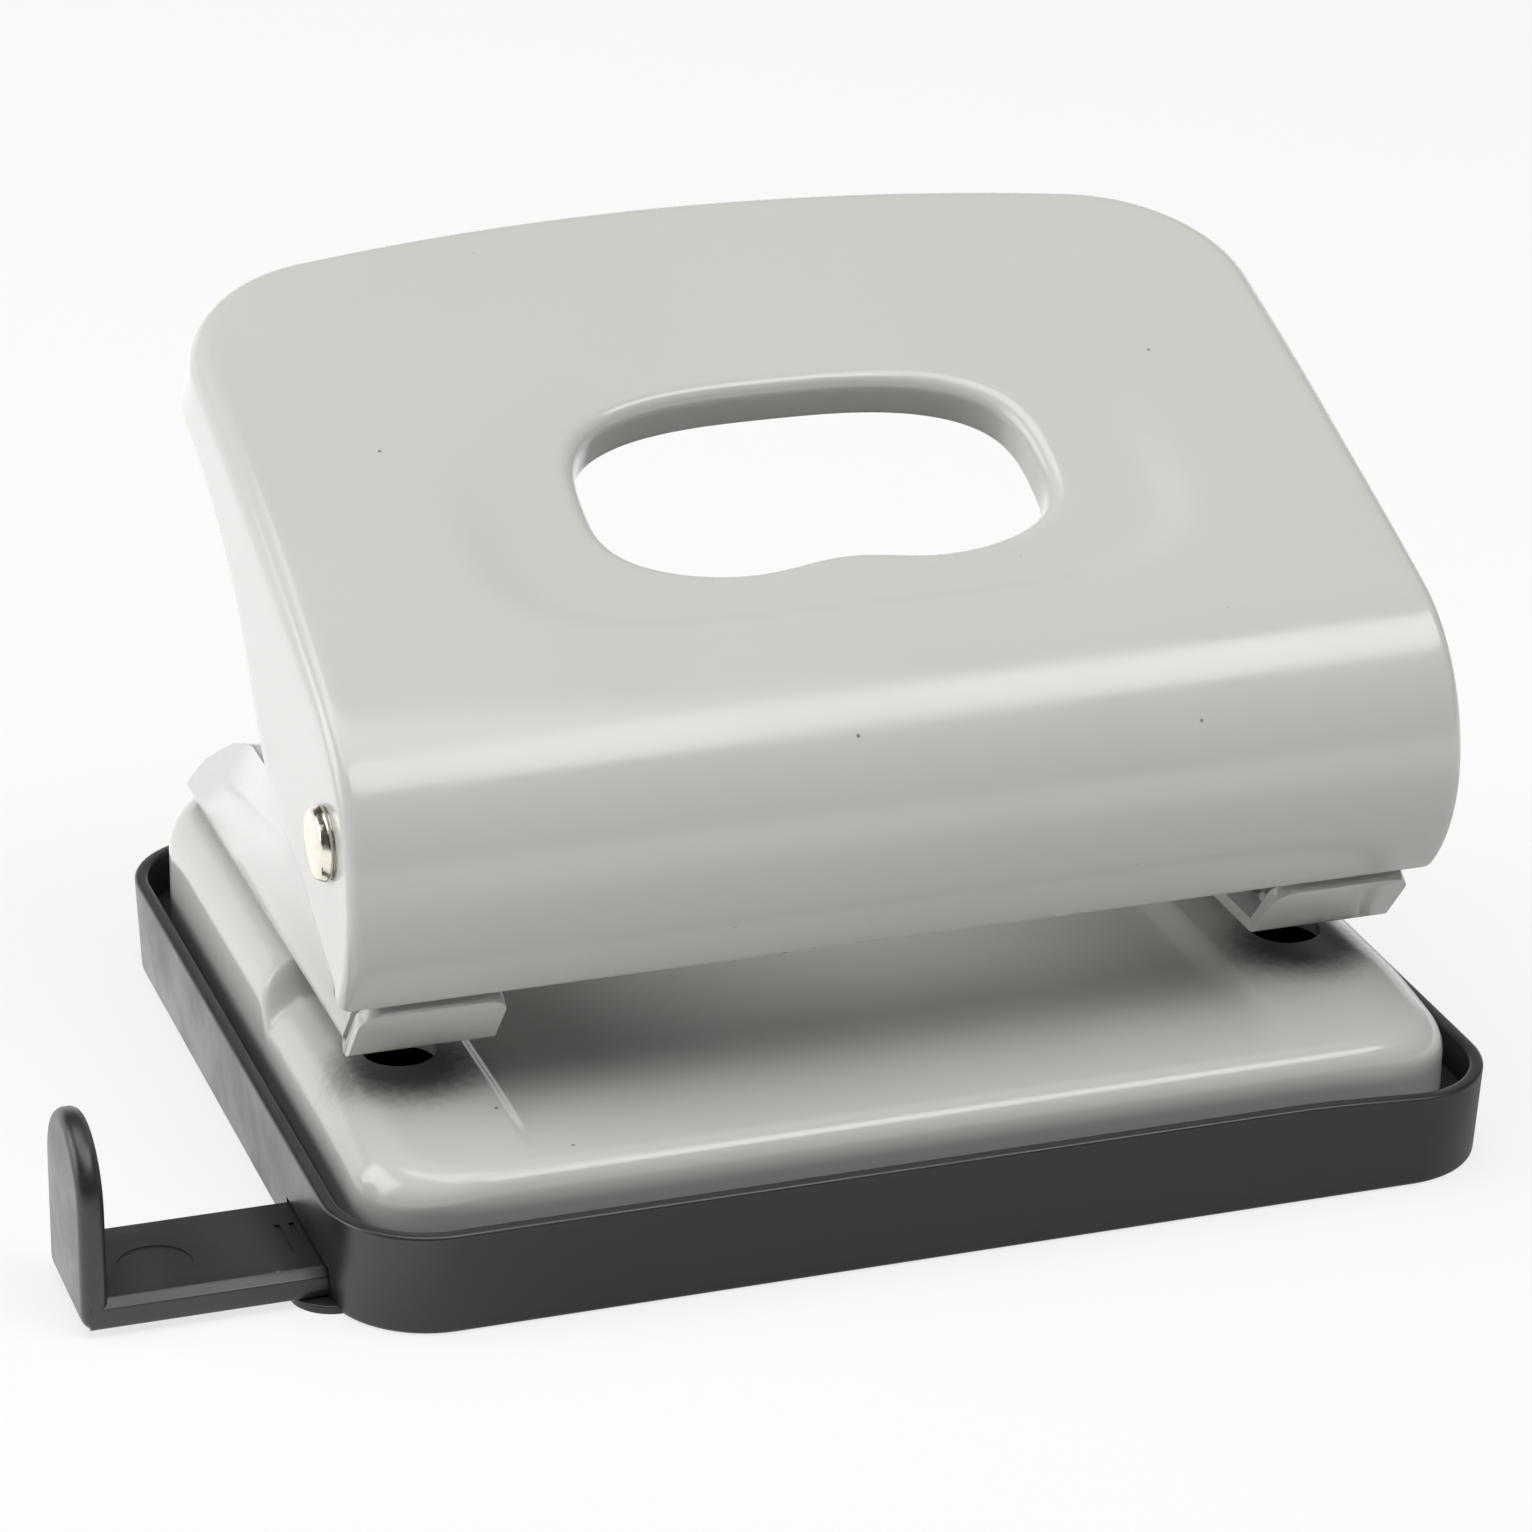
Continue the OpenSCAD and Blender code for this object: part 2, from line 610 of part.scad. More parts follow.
// Return spring: an open coil with closer end turns, 8 rings a turn and 6 sides
spring_r = pin_r + 0.4 + wire_d / 2;
end_turns = 0.75;
end_pitch = wire_d + 0.5;
spring_rise = spring_z1 - spring_z0 - wire_d;
mid_pitch = (spring_rise - 2 * end_turns * end_pitch) / (spring_turns - 2 * end_turns);
function coil_z(t) = spring_z0 + wire_d / 2 + end_pitch * min(t, end_turns)
    + mid_pitch * min(max(0, t - end_turns), spring_turns - 2 * end_turns)
    + end_pitch * max(0, t - spring_turns + end_turns);
function coil_p(t) = [spring_r * cos(360 * t), spring_r * sin(360 * t), coil_z(t)];
coil_t = steps(0, spring_turns, 8 * spring_turns);
coil_gap = min([for (i = [0 : len(coil_t) - 1]) for (j = [i + 5 : 1 : len(coil_t) - 1])
    norm(coil_p(coil_t[i]) - coil_p(coil_t[j]))]) - wire_d;
echo(spring_least_gap_to_itself = coil_gap);

module return_spring() {
    n = len(coil_t);
    pts = [for (t = coil_t) let (c = coil_p(t)) for (k = [0 : 5])
        c + wire_d / 2 * [cos(60 * k) * cos(360 * t), cos(60 * k) * sin(360 * t), sin(60 * k)]];
    last = 6 * (n - 1);
    translate([pin_x, pin_y, 0])
        polyhedron(points = pts, faces = concat(
            [for (i = [0 : n - 2]) each band(row(6 * i, 6), row(6 * i + 6, 6), true)],
            [for (k = [1 : 4]) [0, k + 1, k]],
            [for (k = [1 : 4]) [last, last + k, last + k + 1]]), convexity = 12);
}

module left_punch_pin() color(bright_steel) on_side(-1) punch_pin();
module right_punch_pin() color(bright_steel) on_side(1) punch_pin();
module left_pin_clip() color(spring_steel) on_side(-1) pin_clip();
module right_pin_clip() color(spring_steel) on_side(1) pin_clip();
module left_spring_washer() color(bright_steel) on_side(-1) spring_washer();
module right_spring_washer() color(bright_steel) on_side(1) spring_washer();
module left_return_spring() color(spring_steel) translate([-2 * pin_x, 0, 0]) return_spring();
module right_return_spring() color(spring_steel) return_spring();

// ------------------------------------------------------------------ pivots
module pivot_rivet() {
    r = pivot_d / 2;
    head_r = pivot_head_d / 2;
    head_x = lever_half + seat_c;
    inner_x = bracket_x1 - bracket_t - seat_c;
    translate([0, pivot_y, pivot_z])
        rotate([0, 90, 0])
            rotate_extrude()
                polygon([[0, inner_x - 1.2], [head_r - 0.6, inner_x - 1.2], [head_r - 0.2, inner_x - 0.7],
                         [head_r - 0.2, inner_x], [r, inner_x], [r, head_x], [head_r, head_x],
                         [head_r, head_x + 0.6], [head_r - 0.35, head_x + 1], [head_r - 0.9, head_x + 1.15],
                         [0, head_x + 1.3]]);
}

module pivot_washer() {
    translate([washer_x, pivot_y, pivot_z])
        rotate([0, 90, 0])
            difference() {
                cylinder(r = ear_r - 0.6, h = pivot_washer_t);
                translate([0, 0, -1]) cylinder(d = pivot_d + 2 * run_c, h = pivot_washer_t + 2);
            }
}

module left_pivot_rivet() color(nickel) on_side(-1) pivot_rivet();
module right_pivot_rivet() color(nickel) on_side(1) pivot_rivet();
module left_pivot_washer() color(bright_steel) on_side(-1) pivot_washer();
module right_pivot_washer() color(bright_steel) on_side(1) pivot_washer();

// ------------------------------------------------------------------ lever
// One sheet. Its middle section runs by length s from the lower front edge, round the roll
// and along the crowned top. The face is a grid between the finger hole and the outer edge;
// round the sides and the rear it folds down into flanges and a rim.
roll_c = [pivot_y + 8.5, pivot_z - 3.3];
roll_a0 = 223.4;
roll_a1 = 114;
roll_len = roll_r * (roll_a0 - roll_a1) * PI / 180;
crown_c = roll_c + (roll_r - crown_r) * [cos(roll_a1), sin(roll_a1)];
function face_a(s) = s < roll_len ? roll_a0 - s / roll_r * 180 / PI
    : roll_a1 - (s - roll_len) / crown_r * 180 / PI;
function face_n(s) = let (a = face_a(s)) [0, cos(a), sin(a)];
function face_t(s) = let (a = face_a(s)) [0, sin(a), -cos(a)];
function face_p(s) = let (a = face_a(s), d = [cos(a), sin(a)],
    p = s < roll_len ? roll_c + roll_r * d : crown_c + crown_r * d) [0, p[0], p[1]];
// Radius of the fold beside length s, tighter beside the roll
function fold_rad(s) = mix(lever_t + 0.15, lever_fold_r, smooth((s - 0.7 * roll_len) / roll_len));

// Outline of the face before its fold, and the direction in which it faces, as [x, s, nx, ns]
face_half = lever_half - lever_fold_r;
face_end = roll_len + top_l - lever_fold_r;
inner_corner = lever_corner_r - lever_fold_r;
big_r = rear_r - lever_fold_r;
corner_x = face_half - inner_corner;
corner_s = face_end - big_r + sqrt((big_r - inner_corner) * (big_r - inner_corner) - corner_x * corner_x);
corner_a = asin(corner_x / (big_r - inner_corner));
n_front = 16;
n_roll = 9;
n_top = 8;
n_corner = 6;
n_rear = 12;
side_s = concat(steps(0, roll_len, n_roll), [for (i = [1 : n_top]) mix(roll_len, corner_s, i / n_top)]);
front_x = [for (i = [-n_front / 2 : n_front / 2])
    sgn(i) * (lever_half - fold_rad(0)) * pow(abs(2 * i / n_front), 1.25)];
right_side = [for (s = side_s) [lever_half - fold_rad(s), s, 1, 0]];
right_corner = [for (i = [1 : n_corner]) let (a = (90 - corner_a) * i / n_corner)
    [corner_x + inner_corner * cos(a), corner_s + inner_corner * sin(a), cos(a), sin(a)]];
rear = [for (i = [1 : n_rear]) let (a = mix(corner_a, -corner_a, i / n_rear))
    [big_r * sin(a), face_end - big_r + big_r * cos(a), sin(a), cos(a)]];
function flip(e) = [-e[0], e[1], -e[2], e[3]];
left_corner = [for (i = [n_corner - 2 : -1 : 0]) flip(right_corner[i])];
left_side = [for (i = [len(side_s) - 1 : -1 : 1]) flip(right_side[i])];
outline = concat([for (i = [0 : n_front - 1]) [front_x[i], 0, 0, -1]],
                 right_side, right_corner, rear, left_corner, left_side);
n_loop = len(outline);

// Superellipses round the finger hole, met by the line from its middle to an outline point
hole_s = roll_len + finger_s;
function around(e) = [e[0] / face_half, (e[1] - hole_s) / (e[1] < hole_s ? hole_s : face_end - hole_s)];
function super(v, a, b, n) = let (q = pow(pow(abs(v[0]), n) + pow(abs(v[1]), n), 1 / n))
    [a * v[0] / q, hole_s + b * v[1] / q];
function super_n(v, a, b, n) = let (q = pow(pow(abs(v[0]), n) + pow(abs(v[1]), n), 1 / n),
    g = [sgn(v[0]) * pow(abs(v[0] / q), n - 1) / a, sgn(v[1]) * pow(abs(v[1] / q), n - 1) / b]) g / norm(g);
hole_n = 2.8;
lip_r = 1.5;
recess_a = 32.5;
recess_b = 16.6;
recess_n = 4;
recess_w = 0.15;
// Low broad tab in the middle of the hole's front edge, between two finger lobes
function hole_tab(p) = p[1] < hole_s ? [0, 1.6 * exp(-p[0] * p[0] / 40)] : [0, 0];
function recess_at(s) = recess_d * (1 - smooth((face_p(s)[1] - pin_y - 4.5) / 16));
function place(x, s, d) = [x, 0, 0] + face_p(s) - d * face_n(s);
function blend2(a, b, t) = [mix(a[0], b[0], t), mix(a[1], b[1], t)];

// A station is [point, normal]. Rows of stations from the rim of the hole out to the outline
function hole_row(e, phi, deep) =
    let (v = around(e), a = finger_a + lip_r, b = (v[1] < 0 ? finger_front : finger_rear) + lip_r,
         p0 = super(v, a, b, hole_n), p = p0 + hole_tab(p0), g = super_n(v, a, b, hole_n),
         n = face_n(p[1]), h = [g[0], 0, 0] + g[1] * face_t(p[1]),
         c = place(p[0], p[1], recess_at(p[1]) + lip_r),
         d = cos(phi) * n - sin(phi) * h)
    [c + lip_r * d - deep * n, d];
function face_row(p, d) = [place(p[0], p[1], d), face_n(p[1])];
n_face = 12;
face_rows = concat(
    [[for (e = outline) hole_row(e, 90, finger_rim - lip_r)]],
    [for (phi = [90, 45, 0]) [for (e = outline) hole_row(e, phi, 0)]],
    [[for (e = outline) let (p = super(around(e), recess_a * (1 - recess_w), recess_b * (1 - recess_w), recess_n))
        face_row(p, recess_at(p[1]))]],
    [for (k = [0 : n_face]) [for (e = outline)
        let (p = blend2(super(around(e), recess_a, recess_b, recess_n), e, k / n_face)) face_row(p, 0)]]);

// Lower edge of a side flange, as points in Y-Z measured from the pivot
flange_1 = [-1.4, -11.9];
flange_2 = [9, -6.4];
flange_h1 = [28.9, -2.5];
flange_h2 = [18.5, 8.8];
function rim_end(s) = face_p(s) - rim_h * face_n(s);
function flange_edge(s) =
    let (pv = [pivot_y, pivot_z], s1 = side_s[1], s2 = side_s[5],
         r0 = face_p(0) - fold_rad(0) * face_n(0), f0 = [r0[1] + 0.5, r0[2] + 0.15],
         f1 = pv + flange_1, f2 = pv + flange_2, e3 = rim_end(corner_s), t = (s - s2) / (corner_s - s2),
         u = 1 - t,
         p = s < s1 ? mix(f0, f1, s / s1) : s < s2 ? mix(f1, f2, (s - s1) / (s2 - s1))
            : u * u * u * f2 + 3 * u * u * t * (pv + flange_h1) + 3 * u * t * t * (pv + flange_h2)
              + t * t * t * [e3[1], e3[2]])
    [0, p[0], p[1]];
function fold_row(e, phi) =
    let (s = e[1], r = abs(e[2]) > 0.999 ? fold_rad(s) : lever_fold_r, n = face_n(s),
         w = [e[2], 0, 0] + e[3] * face_t(s))
    [place(e[0], s, 0) + r * (sin(phi) * w - (1 - cos(phi)) * n), sin(phi) * w + cos(phi) * n];
function rim_row(e) = let (b = fold_row(e, 90), side = abs(e[2]) > 0.999 && e[1] <= corner_s + 0.001)
    side ? [[b[0][0], 0, 0] + flange_edge(e[1]), b[1]]
        : [b[0] - (rim_h - lever_fold_r) * face_n(e[1]) + rim_flare * smooth(abs(e[3]) / 0.5) * b[1], b[1]];
fold_cols = concat([for (i = [n_front : n_loop - 1]) outline[i]], [[-outline[n_front][0], 0, -1, 0]]);
fold_rows = concat([for (phi = [30, 60, 90]) [for (e = fold_cols) fold_row(e, phi)]],
                   [[for (e = fold_cols) rim_row(e)]]);

module lever_sheet() {
    nf = len(face_rows);
    nc = len(fold_cols);
    half = nf * n_loop + len(fold_rows) * nc;
    stations = concat([for (r = face_rows) each r], [for (r = fold_rows) each r]);
    faces_o = [for (k = [0 : nf - 1]) row(k * n_loop, n_loop)];
    last = faces_o[nf - 1];
    edge_o = concat([for (i = [n_front : n_loop - 1]) last[i]], [last[0]]);
    folds_o = concat([edge_o], [for (k = [0 : len(fold_rows) - 1]) row(nf * n_loop + k * nc, nc)]);
    nr = len(folds_o);
    chain = concat([for (i = [0 : n_front - 1]) last[i]], [for (k = [0 : nr - 1]) folds_o[k][0]],
                   [for (i = [1 : nc - 1]) folds_o[nr - 1][i]], [for (k = [nr - 2 : -1 : 1]) folds_o[k][nc - 1]]);
    polyhedron(
        points = concat([for (q = stations) q[0]], [for (q = stations) q[0] - lever_t * q[1]]),
        faces = concat(
            [for (k = [0 : nf - 2]) each band(faces_o[k], faces_o[k + 1], true)],
            [for (k = [0 : nr - 2]) each band(folds_o[k], folds_o[k + 1], false)],
            [for (k = [0 : nf - 2]) each band(inner(faces_o[k + 1], half), inner(faces_o[k], half), true)],
            [for (k = [0 : nr - 2]) each band(inner(folds_o[k + 1], half), inner(folds_o[k], half), false)],
            band(inner(faces_o[0], half), faces_o[0], true),
            band(chain, inner(chain, half), true)),
        convexity = 12);
}
function inner(r, half) = [for (i = r) i + half];

module lever_shell() {
    color(paint) difference() {
        lever_sheet();
        for (s = [-1, 1])
            translate([s * lever_half, pivot_y, pivot_z])
                rotate([0, 90, 0])
                    cylinder(d = pivot_d + 2 * run_c, h = 4, center = true);
    }
}

// Press bar under the roll: a welded flange, a web and a round nose that meets both pins
module press_bar() {
    bar_t = 1.5;
    r1 = roll_r - lever_t - 0.2;
    a = roll_a1 + 4;
    web_top = roll_c + (r1 - bar_t / 2) * [cos(a), sin(a)];
    d = web_top - [nose_y, nose_z];
    side = bar_t / 2 * [-d[1], d[0]] / norm(d);
    color(bright_steel)
        along_x(0.7 - flange_x, flange_x - 0.7) {
            fold(roll_c, r1 - bar_t, r1, roll_a1, roll_a1 + 22);
            polygon([web_top + side, [nose_y, nose_z] + side, [nose_y, nose_z] - side, web_top - side]);
            translate([nose_y, nose_z]) circle(nose_r);
        }
}

chip_tray();
paper_guide();
base_plate();
left_bracket();
right_bracket();
left_foot_rivets();
right_foot_rivets();
left_punch_pin();
right_punch_pin();
left_pin_clip();
right_pin_clip();
left_spring_washer();
right_spring_washer();
left_return_spring();
right_return_spring();
left_pivot_rivet();
right_pivot_rivet();
left_pivot_washer();
right_pivot_washer();
lever_shell();
press_bar();
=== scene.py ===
# %% [markdown]
# # A manual desk punch
# The object is a small office punch: a pressed steel lever over a pressed steel base, both in
# warm light grey gloss enamel, standing in a black moulded tray with a sliding paper guide.
# The imported CAD model is loaded first. It gives the place and size of every piece.

import json

import bmesh
import bpy
import numpy as np
from mathutils import Matrix, Vector


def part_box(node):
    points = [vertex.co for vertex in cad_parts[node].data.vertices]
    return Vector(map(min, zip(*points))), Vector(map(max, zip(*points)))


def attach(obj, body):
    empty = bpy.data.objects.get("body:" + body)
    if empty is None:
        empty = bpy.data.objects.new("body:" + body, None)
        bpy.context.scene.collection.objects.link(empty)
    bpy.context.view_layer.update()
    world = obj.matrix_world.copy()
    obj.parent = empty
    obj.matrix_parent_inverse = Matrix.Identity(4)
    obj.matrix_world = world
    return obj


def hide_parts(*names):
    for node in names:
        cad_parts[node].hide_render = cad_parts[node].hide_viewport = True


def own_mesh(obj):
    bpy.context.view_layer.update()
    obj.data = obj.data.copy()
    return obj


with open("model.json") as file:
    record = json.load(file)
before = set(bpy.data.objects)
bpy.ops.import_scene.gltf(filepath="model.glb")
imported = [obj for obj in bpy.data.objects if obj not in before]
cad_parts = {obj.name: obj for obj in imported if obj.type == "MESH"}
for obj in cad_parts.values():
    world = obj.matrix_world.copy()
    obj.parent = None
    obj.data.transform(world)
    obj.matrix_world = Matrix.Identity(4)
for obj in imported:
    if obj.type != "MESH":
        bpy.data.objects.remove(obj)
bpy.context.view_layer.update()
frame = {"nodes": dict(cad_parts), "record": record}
node = frame["nodes"]
MM = 0.001

# %% [markdown]
# ## The view
# The photograph was taken from the front left and from above. The lens, the direction and the
# small roll were worked out from the tray's edges, which are straight and level on the real
# object. The lens is long: the tray's far edges hardly shrink.

# %% Camera
PHOTO, SENSOR_MM = 1532, 36.0
FOCAL_PIXELS = 5500.0
AZIMUTH, ELEVATION, ROLL = np.radians([-19.4417, 23.2478, -0.8681])
SHIFT_IN_VIEW = np.array([1.858, -25.067, 487.062])


def view_axes():
    """Right, up and forward of the camera: forward looks from (azimuth, elevation) at the
    object, right is forward x up of the world, and both are then turned by the roll."""
    ca, sa, ce, se = np.cos(AZIMUTH), np.sin(AZIMUTH), np.cos(ELEVATION), np.sin(ELEVATION)
    forward = -np.array([sa * ce, -ca * ce, se])
    right = np.cross(forward, [0, 0, 1])
    right /= np.linalg.norm(right)
    up = np.cross(right, forward)
    c, s = np.cos(ROLL), np.sin(ROLL)
    return c * right - s * up, s * right + c * up, forward


def put(name, data):
    """A new object with these data, in the scene."""
    thing = bpy.data.objects.new(name, data)
    bpy.context.scene.collection.objects.link(thing)
    return thing


right, up, forward = view_axes()
place = -SHIFT_IN_VIEW @ np.array([right, up, forward]) * MM
camera = put("camera", bpy.data.cameras.new("camera"))
camera.matrix_world = Matrix(
    [[right[i], up[i], -forward[i], place[i]] for i in range(3)] + [[0, 0, 0, 1]]
)
camera.data.sensor_width = SENSOR_MM
camera.data.lens = FOCAL_PIXELS / PHOTO * SENSOR_MM
bpy.context.scene.camera = camera
print("camera at", place.round(4), "lens", round(camera.data.lens, 2))

# %% [markdown]
# ## Sizes
# Sizes are the CAD model's, in millimetres. Those that the frame can give are read from it, so
# that a fit between two pieces is the CAD model's own.

# %% Sizes from the frame


def box_mm(name):
    """Lowest and highest corner of a CAD node at rest, in millimetres."""
    low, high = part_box(name)
    return np.array(low) / MM, np.array(high) / MM


hinge = next(j for j in frame["record"]["behaviour"]["joints"] if j["name"] == "lever_hinge")
PIVOT = np.array(hinge["pos_m"])[1:] / MM
pin_low, pin_high = box_mm("right_punch_pin")
PIN_X = (pin_low[0] + pin_high[0]) / 2
PIN_Y = (pin_low[1] + pin_high[1]) / 2
PIN_R = (pin_high[0] - pin_low[0]) / 2
LEVER_HALF = box_mm("lever_shell")[1][0]
base_high = box_mm("base_plate")[1]
tray_low, tray_high = box_mm("chip_tray")
print("pivot", PIVOT, "pin", PIN_X, PIN_Y, PIN_R, "lever half", round(LEVER_HALF, 3))

# %% [markdown]
# ## Grids of points
# Each surface here is a grid of points that numpy works out as whole arrays. A grid's faces
# follow from its numbering alone, so one function serves them all. Patches that share an edge
# use the same point numbers along it.

# %% Grid helpers
UP = np.array([0, 0, 1.0])


def quads(table, flip=False):
    """Faces between neighbouring rows of a table of point numbers, turned over if flip."""
    a, b = table[:-1, :-1], table[:-1, 1:]
    c, d = table[1:, 1:], table[1:, :-1]
    faces = np.stack([a, b, c, d], -1).reshape(-1, 4)
    return faces[:, ::-1] if flip else faces


def numbers(start, rows, columns):
    """A table of point numbers, row by row."""
    return start + np.arange(rows * columns).reshape(rows, columns)


def closed(table):
    """The same table with its first column repeated at the end, so that each row is a ring."""
    return np.concatenate([table, table[:, :1]], 1)


def capped(points, flip=False):
    """Faces of a tube whose rings are rows of points, with one face over each end."""
    table = numbers(0, *points.shape[:2])
    ends = [table[0, ::-1], table[-1]]
    if flip:
        ends = [e[::-1] for e in ends]
    return quads(closed(table), flip).tolist() + [e.tolist() for e in ends]


def runs(*pieces):
    """Values that run through the pieces (start, end, steps), each shared end kept once."""
    parts = [np.linspace(a, b, int(n) + 1) for a, b, n in pieces]
    return np.concatenate([parts[0]] + [p[1:] for p in parts[1:]])


def smooth(t):
    """0 below 0, 1 above 1, and 3t^2 - 2t^3 between them."""
    t = np.clip(t, 0, 1)
    return t * t * (3 - 2 * t)


def mix(a, b, t):
    """a where t is 0, b where t is 1, and in proportion between them."""
    return a + (b - a) * t


def unit(v):
    """Vectors of length 1 in the same directions."""
    return v / np.maximum(np.linalg.norm(v, axis=-1, keepdims=True), 1e-12)


def point_normals(points, faces):
    """Mean of the directions of the faces round each point. A face's direction is the cross
    product of its diagonals, which points outward."""
    p = points[faces]
    n = unit(np.cross(p[:, 2] - p[:, 0], p[:, 3] - p[:, 1]))
    total = np.zeros_like(points)
    for k in range(4):
        np.add.at(total, faces[:, k], n)
    return unit(total)


print("a grid of 3 x 4 points has", len(quads(numbers(0, 3, 4))), "faces")

# %% [markdown]
# ## From a surface to a sheet
# A pressed sheet has an inner face a thickness away, and cut edges that the enamel rounds off.
# So a wall is made of an inner face, from a vector per point, and half-round rows along the
# free edges. Solidify would leave those edges square.

# %% Sheet helper
EDGE_ROWS = 5


def sheet(points, faces, inward, edge):
    """A closed wall: the outer face, the inner face at points + inward, and round each free
    edge a strip of rows. A row at angle a stands at the middle of the wall + half the wall
    times cos(a)^0.6 + edge times sin(a)^0.6, outward from the edge."""
    used = np.unique(faces)
    renumber = np.full(len(points), -1)
    renumber[used] = np.arange(len(used))
    points, inward, faces = points[used], inward[used], renumber[faces]
    n = len(points)
    start = faces.reshape(-1)
    end = np.roll(faces, -1, axis=1).reshape(-1)
    free = ~np.isin(start * n + end, end * n + start)
    start, end = start[free], end[free]
    after, before = np.zeros(n, int), np.zeros(n, int)
    after[start], before[end] = end, start
    along = unit(points[after[start]] - points[before[start]])
    out = unit(np.cross(along, -unit(inward[start])))
    points = points.copy()
    points[start] -= edge * out
    middle, half = points[start] + inward[start] / 2, -inward[start] / 2
    angles = np.linspace(0, np.pi, EDGE_ROWS + 2)[1:-1, None, None]
    bulge = np.sign(np.cos(angles)) * np.abs(np.cos(angles)) ** 0.6
    strip = middle + half * bulge + edge * out * np.sin(angles) ** 0.6
    m = len(start)
    ring = np.concatenate(
        [start[None], 2 * n + np.arange(EDGE_ROWS * m).reshape(EDGE_ROWS, m), start[None] + n]
    )
    place_of = np.zeros(n, int)
    place_of[start] = np.arange(m)
    across = ring[:, place_of[end]]
    wall = np.stack([across[:-1], ring[:-1], ring[1:], across[1:]], -1).reshape(-1, 4)
    every = np.concatenate([points, points + inward, strip.reshape(-1, 3)])
    return every, np.concatenate([faces, faces[:, ::-1] + n, wall])


print("rows round an edge", EDGE_ROWS)

# %% [markdown]
# ## From points to a piece
# A piece is a mesh with smooth shading that rides on a body of the CAD model and stands for one
# of its nodes. Booleans are applied at once, so that the piece holds the plain mesh. A
# round hole in a curved grid would need its own patch, so bores and slots are cut instead.

# %% Mesh helpers
BORE_SIDES, SHARP_DEGREES = 64, 40


def raw_mesh(name, points, faces):
    """A mesh from points in millimetres, in any number of rows, and lists of faces."""
    mesh = bpy.data.meshes.new(name)
    places = (np.reshape(points, (-1, 3)) * MM).tolist()
    mesh.from_pydata(places, [], [list(map(int, f)) for f in faces])
    return mesh


def dressed(piece, body, replaced, finish):
    """Gives a piece its material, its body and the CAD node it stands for."""
    piece.data.materials.append(finish[0])
    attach(piece, body)
    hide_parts(replaced)
    return piece


def make_piece(name, points, faces, body, replaced, finish):
    """A smooth mesh object that rides on a body and stands for a CAD node."""
    mesh = raw_mesh(name, points, faces)
    mesh.validate()
    mesh.shade_smooth()
    return dressed(put(name, mesh), body, replaced, finish)


def baked(piece, modifiers):
    """Applies a piece's modifiers at once and returns how many faces it then has."""
    bpy.context.view_layer.update()
    graph = bpy.context.evaluated_depsgraph_get()
    mesh = bpy.data.meshes.new_from_object(piece.evaluated_get(graph), depsgraph=graph)
    for m in modifiers:
        piece.modifiers.remove(m)
    piece.data = mesh
    return len(mesh.polygons)


def combine(piece, mesh, operation):
    """Joins a mesh to a piece or cuts it away, and applies that at once."""
    other = put("other", mesh)
    change = piece.modifiers.new("change", "BOOLEAN")
    change.operation, change.object, change.solver = operation, other, "EXACT"
    faces = baked(piece, [change])
    bpy.data.objects.remove(other)
    piece.data.set_sharp_from_angle(angle=np.radians(SHARP_DEGREES))
    return faces


def plain(work, name):
    """The mesh of a bmesh, which is freed."""
    mesh = bpy.data.meshes.new(name)
    work.to_mesh(mesh)
    work.free()
    return mesh


def cut_cylinders(piece, places, radius, length, axis):
    """Bores through a piece: a union of cylinders taken away with an exact Boolean."""
    cutters = bmesh.new()
    turn = Vector(axis).to_track_quat("Z", "Y").to_matrix().to_4x4()
    r, size = radius * MM, {"segments": BORE_SIDES, "depth": length * MM}
    for place in places:
        at = Matrix.Translation(Vector(place) * MM) @ turn
        bmesh.ops.create_cone(cutters, cap_ends=True, radius1=r, radius2=r, matrix=at, **size)
    return combine(piece, plain(cutters, "cutters"), "DIFFERENCE")


print("a bore has", BORE_SIDES, "sides")

# %% [markdown]
# ## Finishes
# One function turns sRGB hex colours into the linear numbers that a shader takes, and one adds
# a node with its settings and links. Patterns read Object coordinates, which are metres here,
# so a pattern's scale is worked out from a real size in millimetres.

# %% Colour and node helpers


def linear(hexa):
    """sRGB hex to linear RGBA: v/12.92 below 0.04045, else ((v + 0.055)/1.055)^2.4."""
    v = np.array([int(hexa[i : i + 2], 16) for i in (1, 3, 5)]) / 255
    v = np.where(v < 0.04045, v / 12.92, ((v + 0.055) / 1.055) ** 2.4)
    return (*v, 1.0)


def per(size_mm):
    """Scale of a pattern on coordinates in metres whose features are this many mm apart."""
    return 1 / (size_mm * MM)


def add(tree, kind, settings=(), *values, **links):
    """A node of that kind, its properties set from settings. Its sockets, in order or named by
    keyword (_ for a space, or i6 for number 6), are set to a value or linked to a socket, or
    to the first output in use of a node."""
    n = tree.nodes.new("ShaderNode" + kind)
    for key, value in dict(settings).items():
        setattr(n, key, value)
    for key, value in [*enumerate(values), *links.items()]:
        at = key
        if isinstance(key, str):
            at = int(key[1:]) if key[1:].isdigit() else key.replace("_", " ")
        if isinstance(value, bpy.types.Node):
            value = next(o for o in value.outputs if o.enabled)
        if isinstance(value, bpy.types.NodeSocket):
            tree.links.new(value, n.inputs[at])
        else:
            n.inputs[at].default_value = value
    return n


def new_material(name):
    """An empty node material, its tree and its Object coordinates."""
    m = bpy.data.materials.new(name)
    m.use_nodes = True
    m.node_tree.nodes.clear()
    return m, m.node_tree, add(m.node_tree, "TexCoord").outputs["Object"]


SMOOTH = {"interpolation_type": "SMOOTHSTEP"}
TIMES = {"operation": "MULTIPLY"}
COLOUR = {"data_type": "RGBA"}


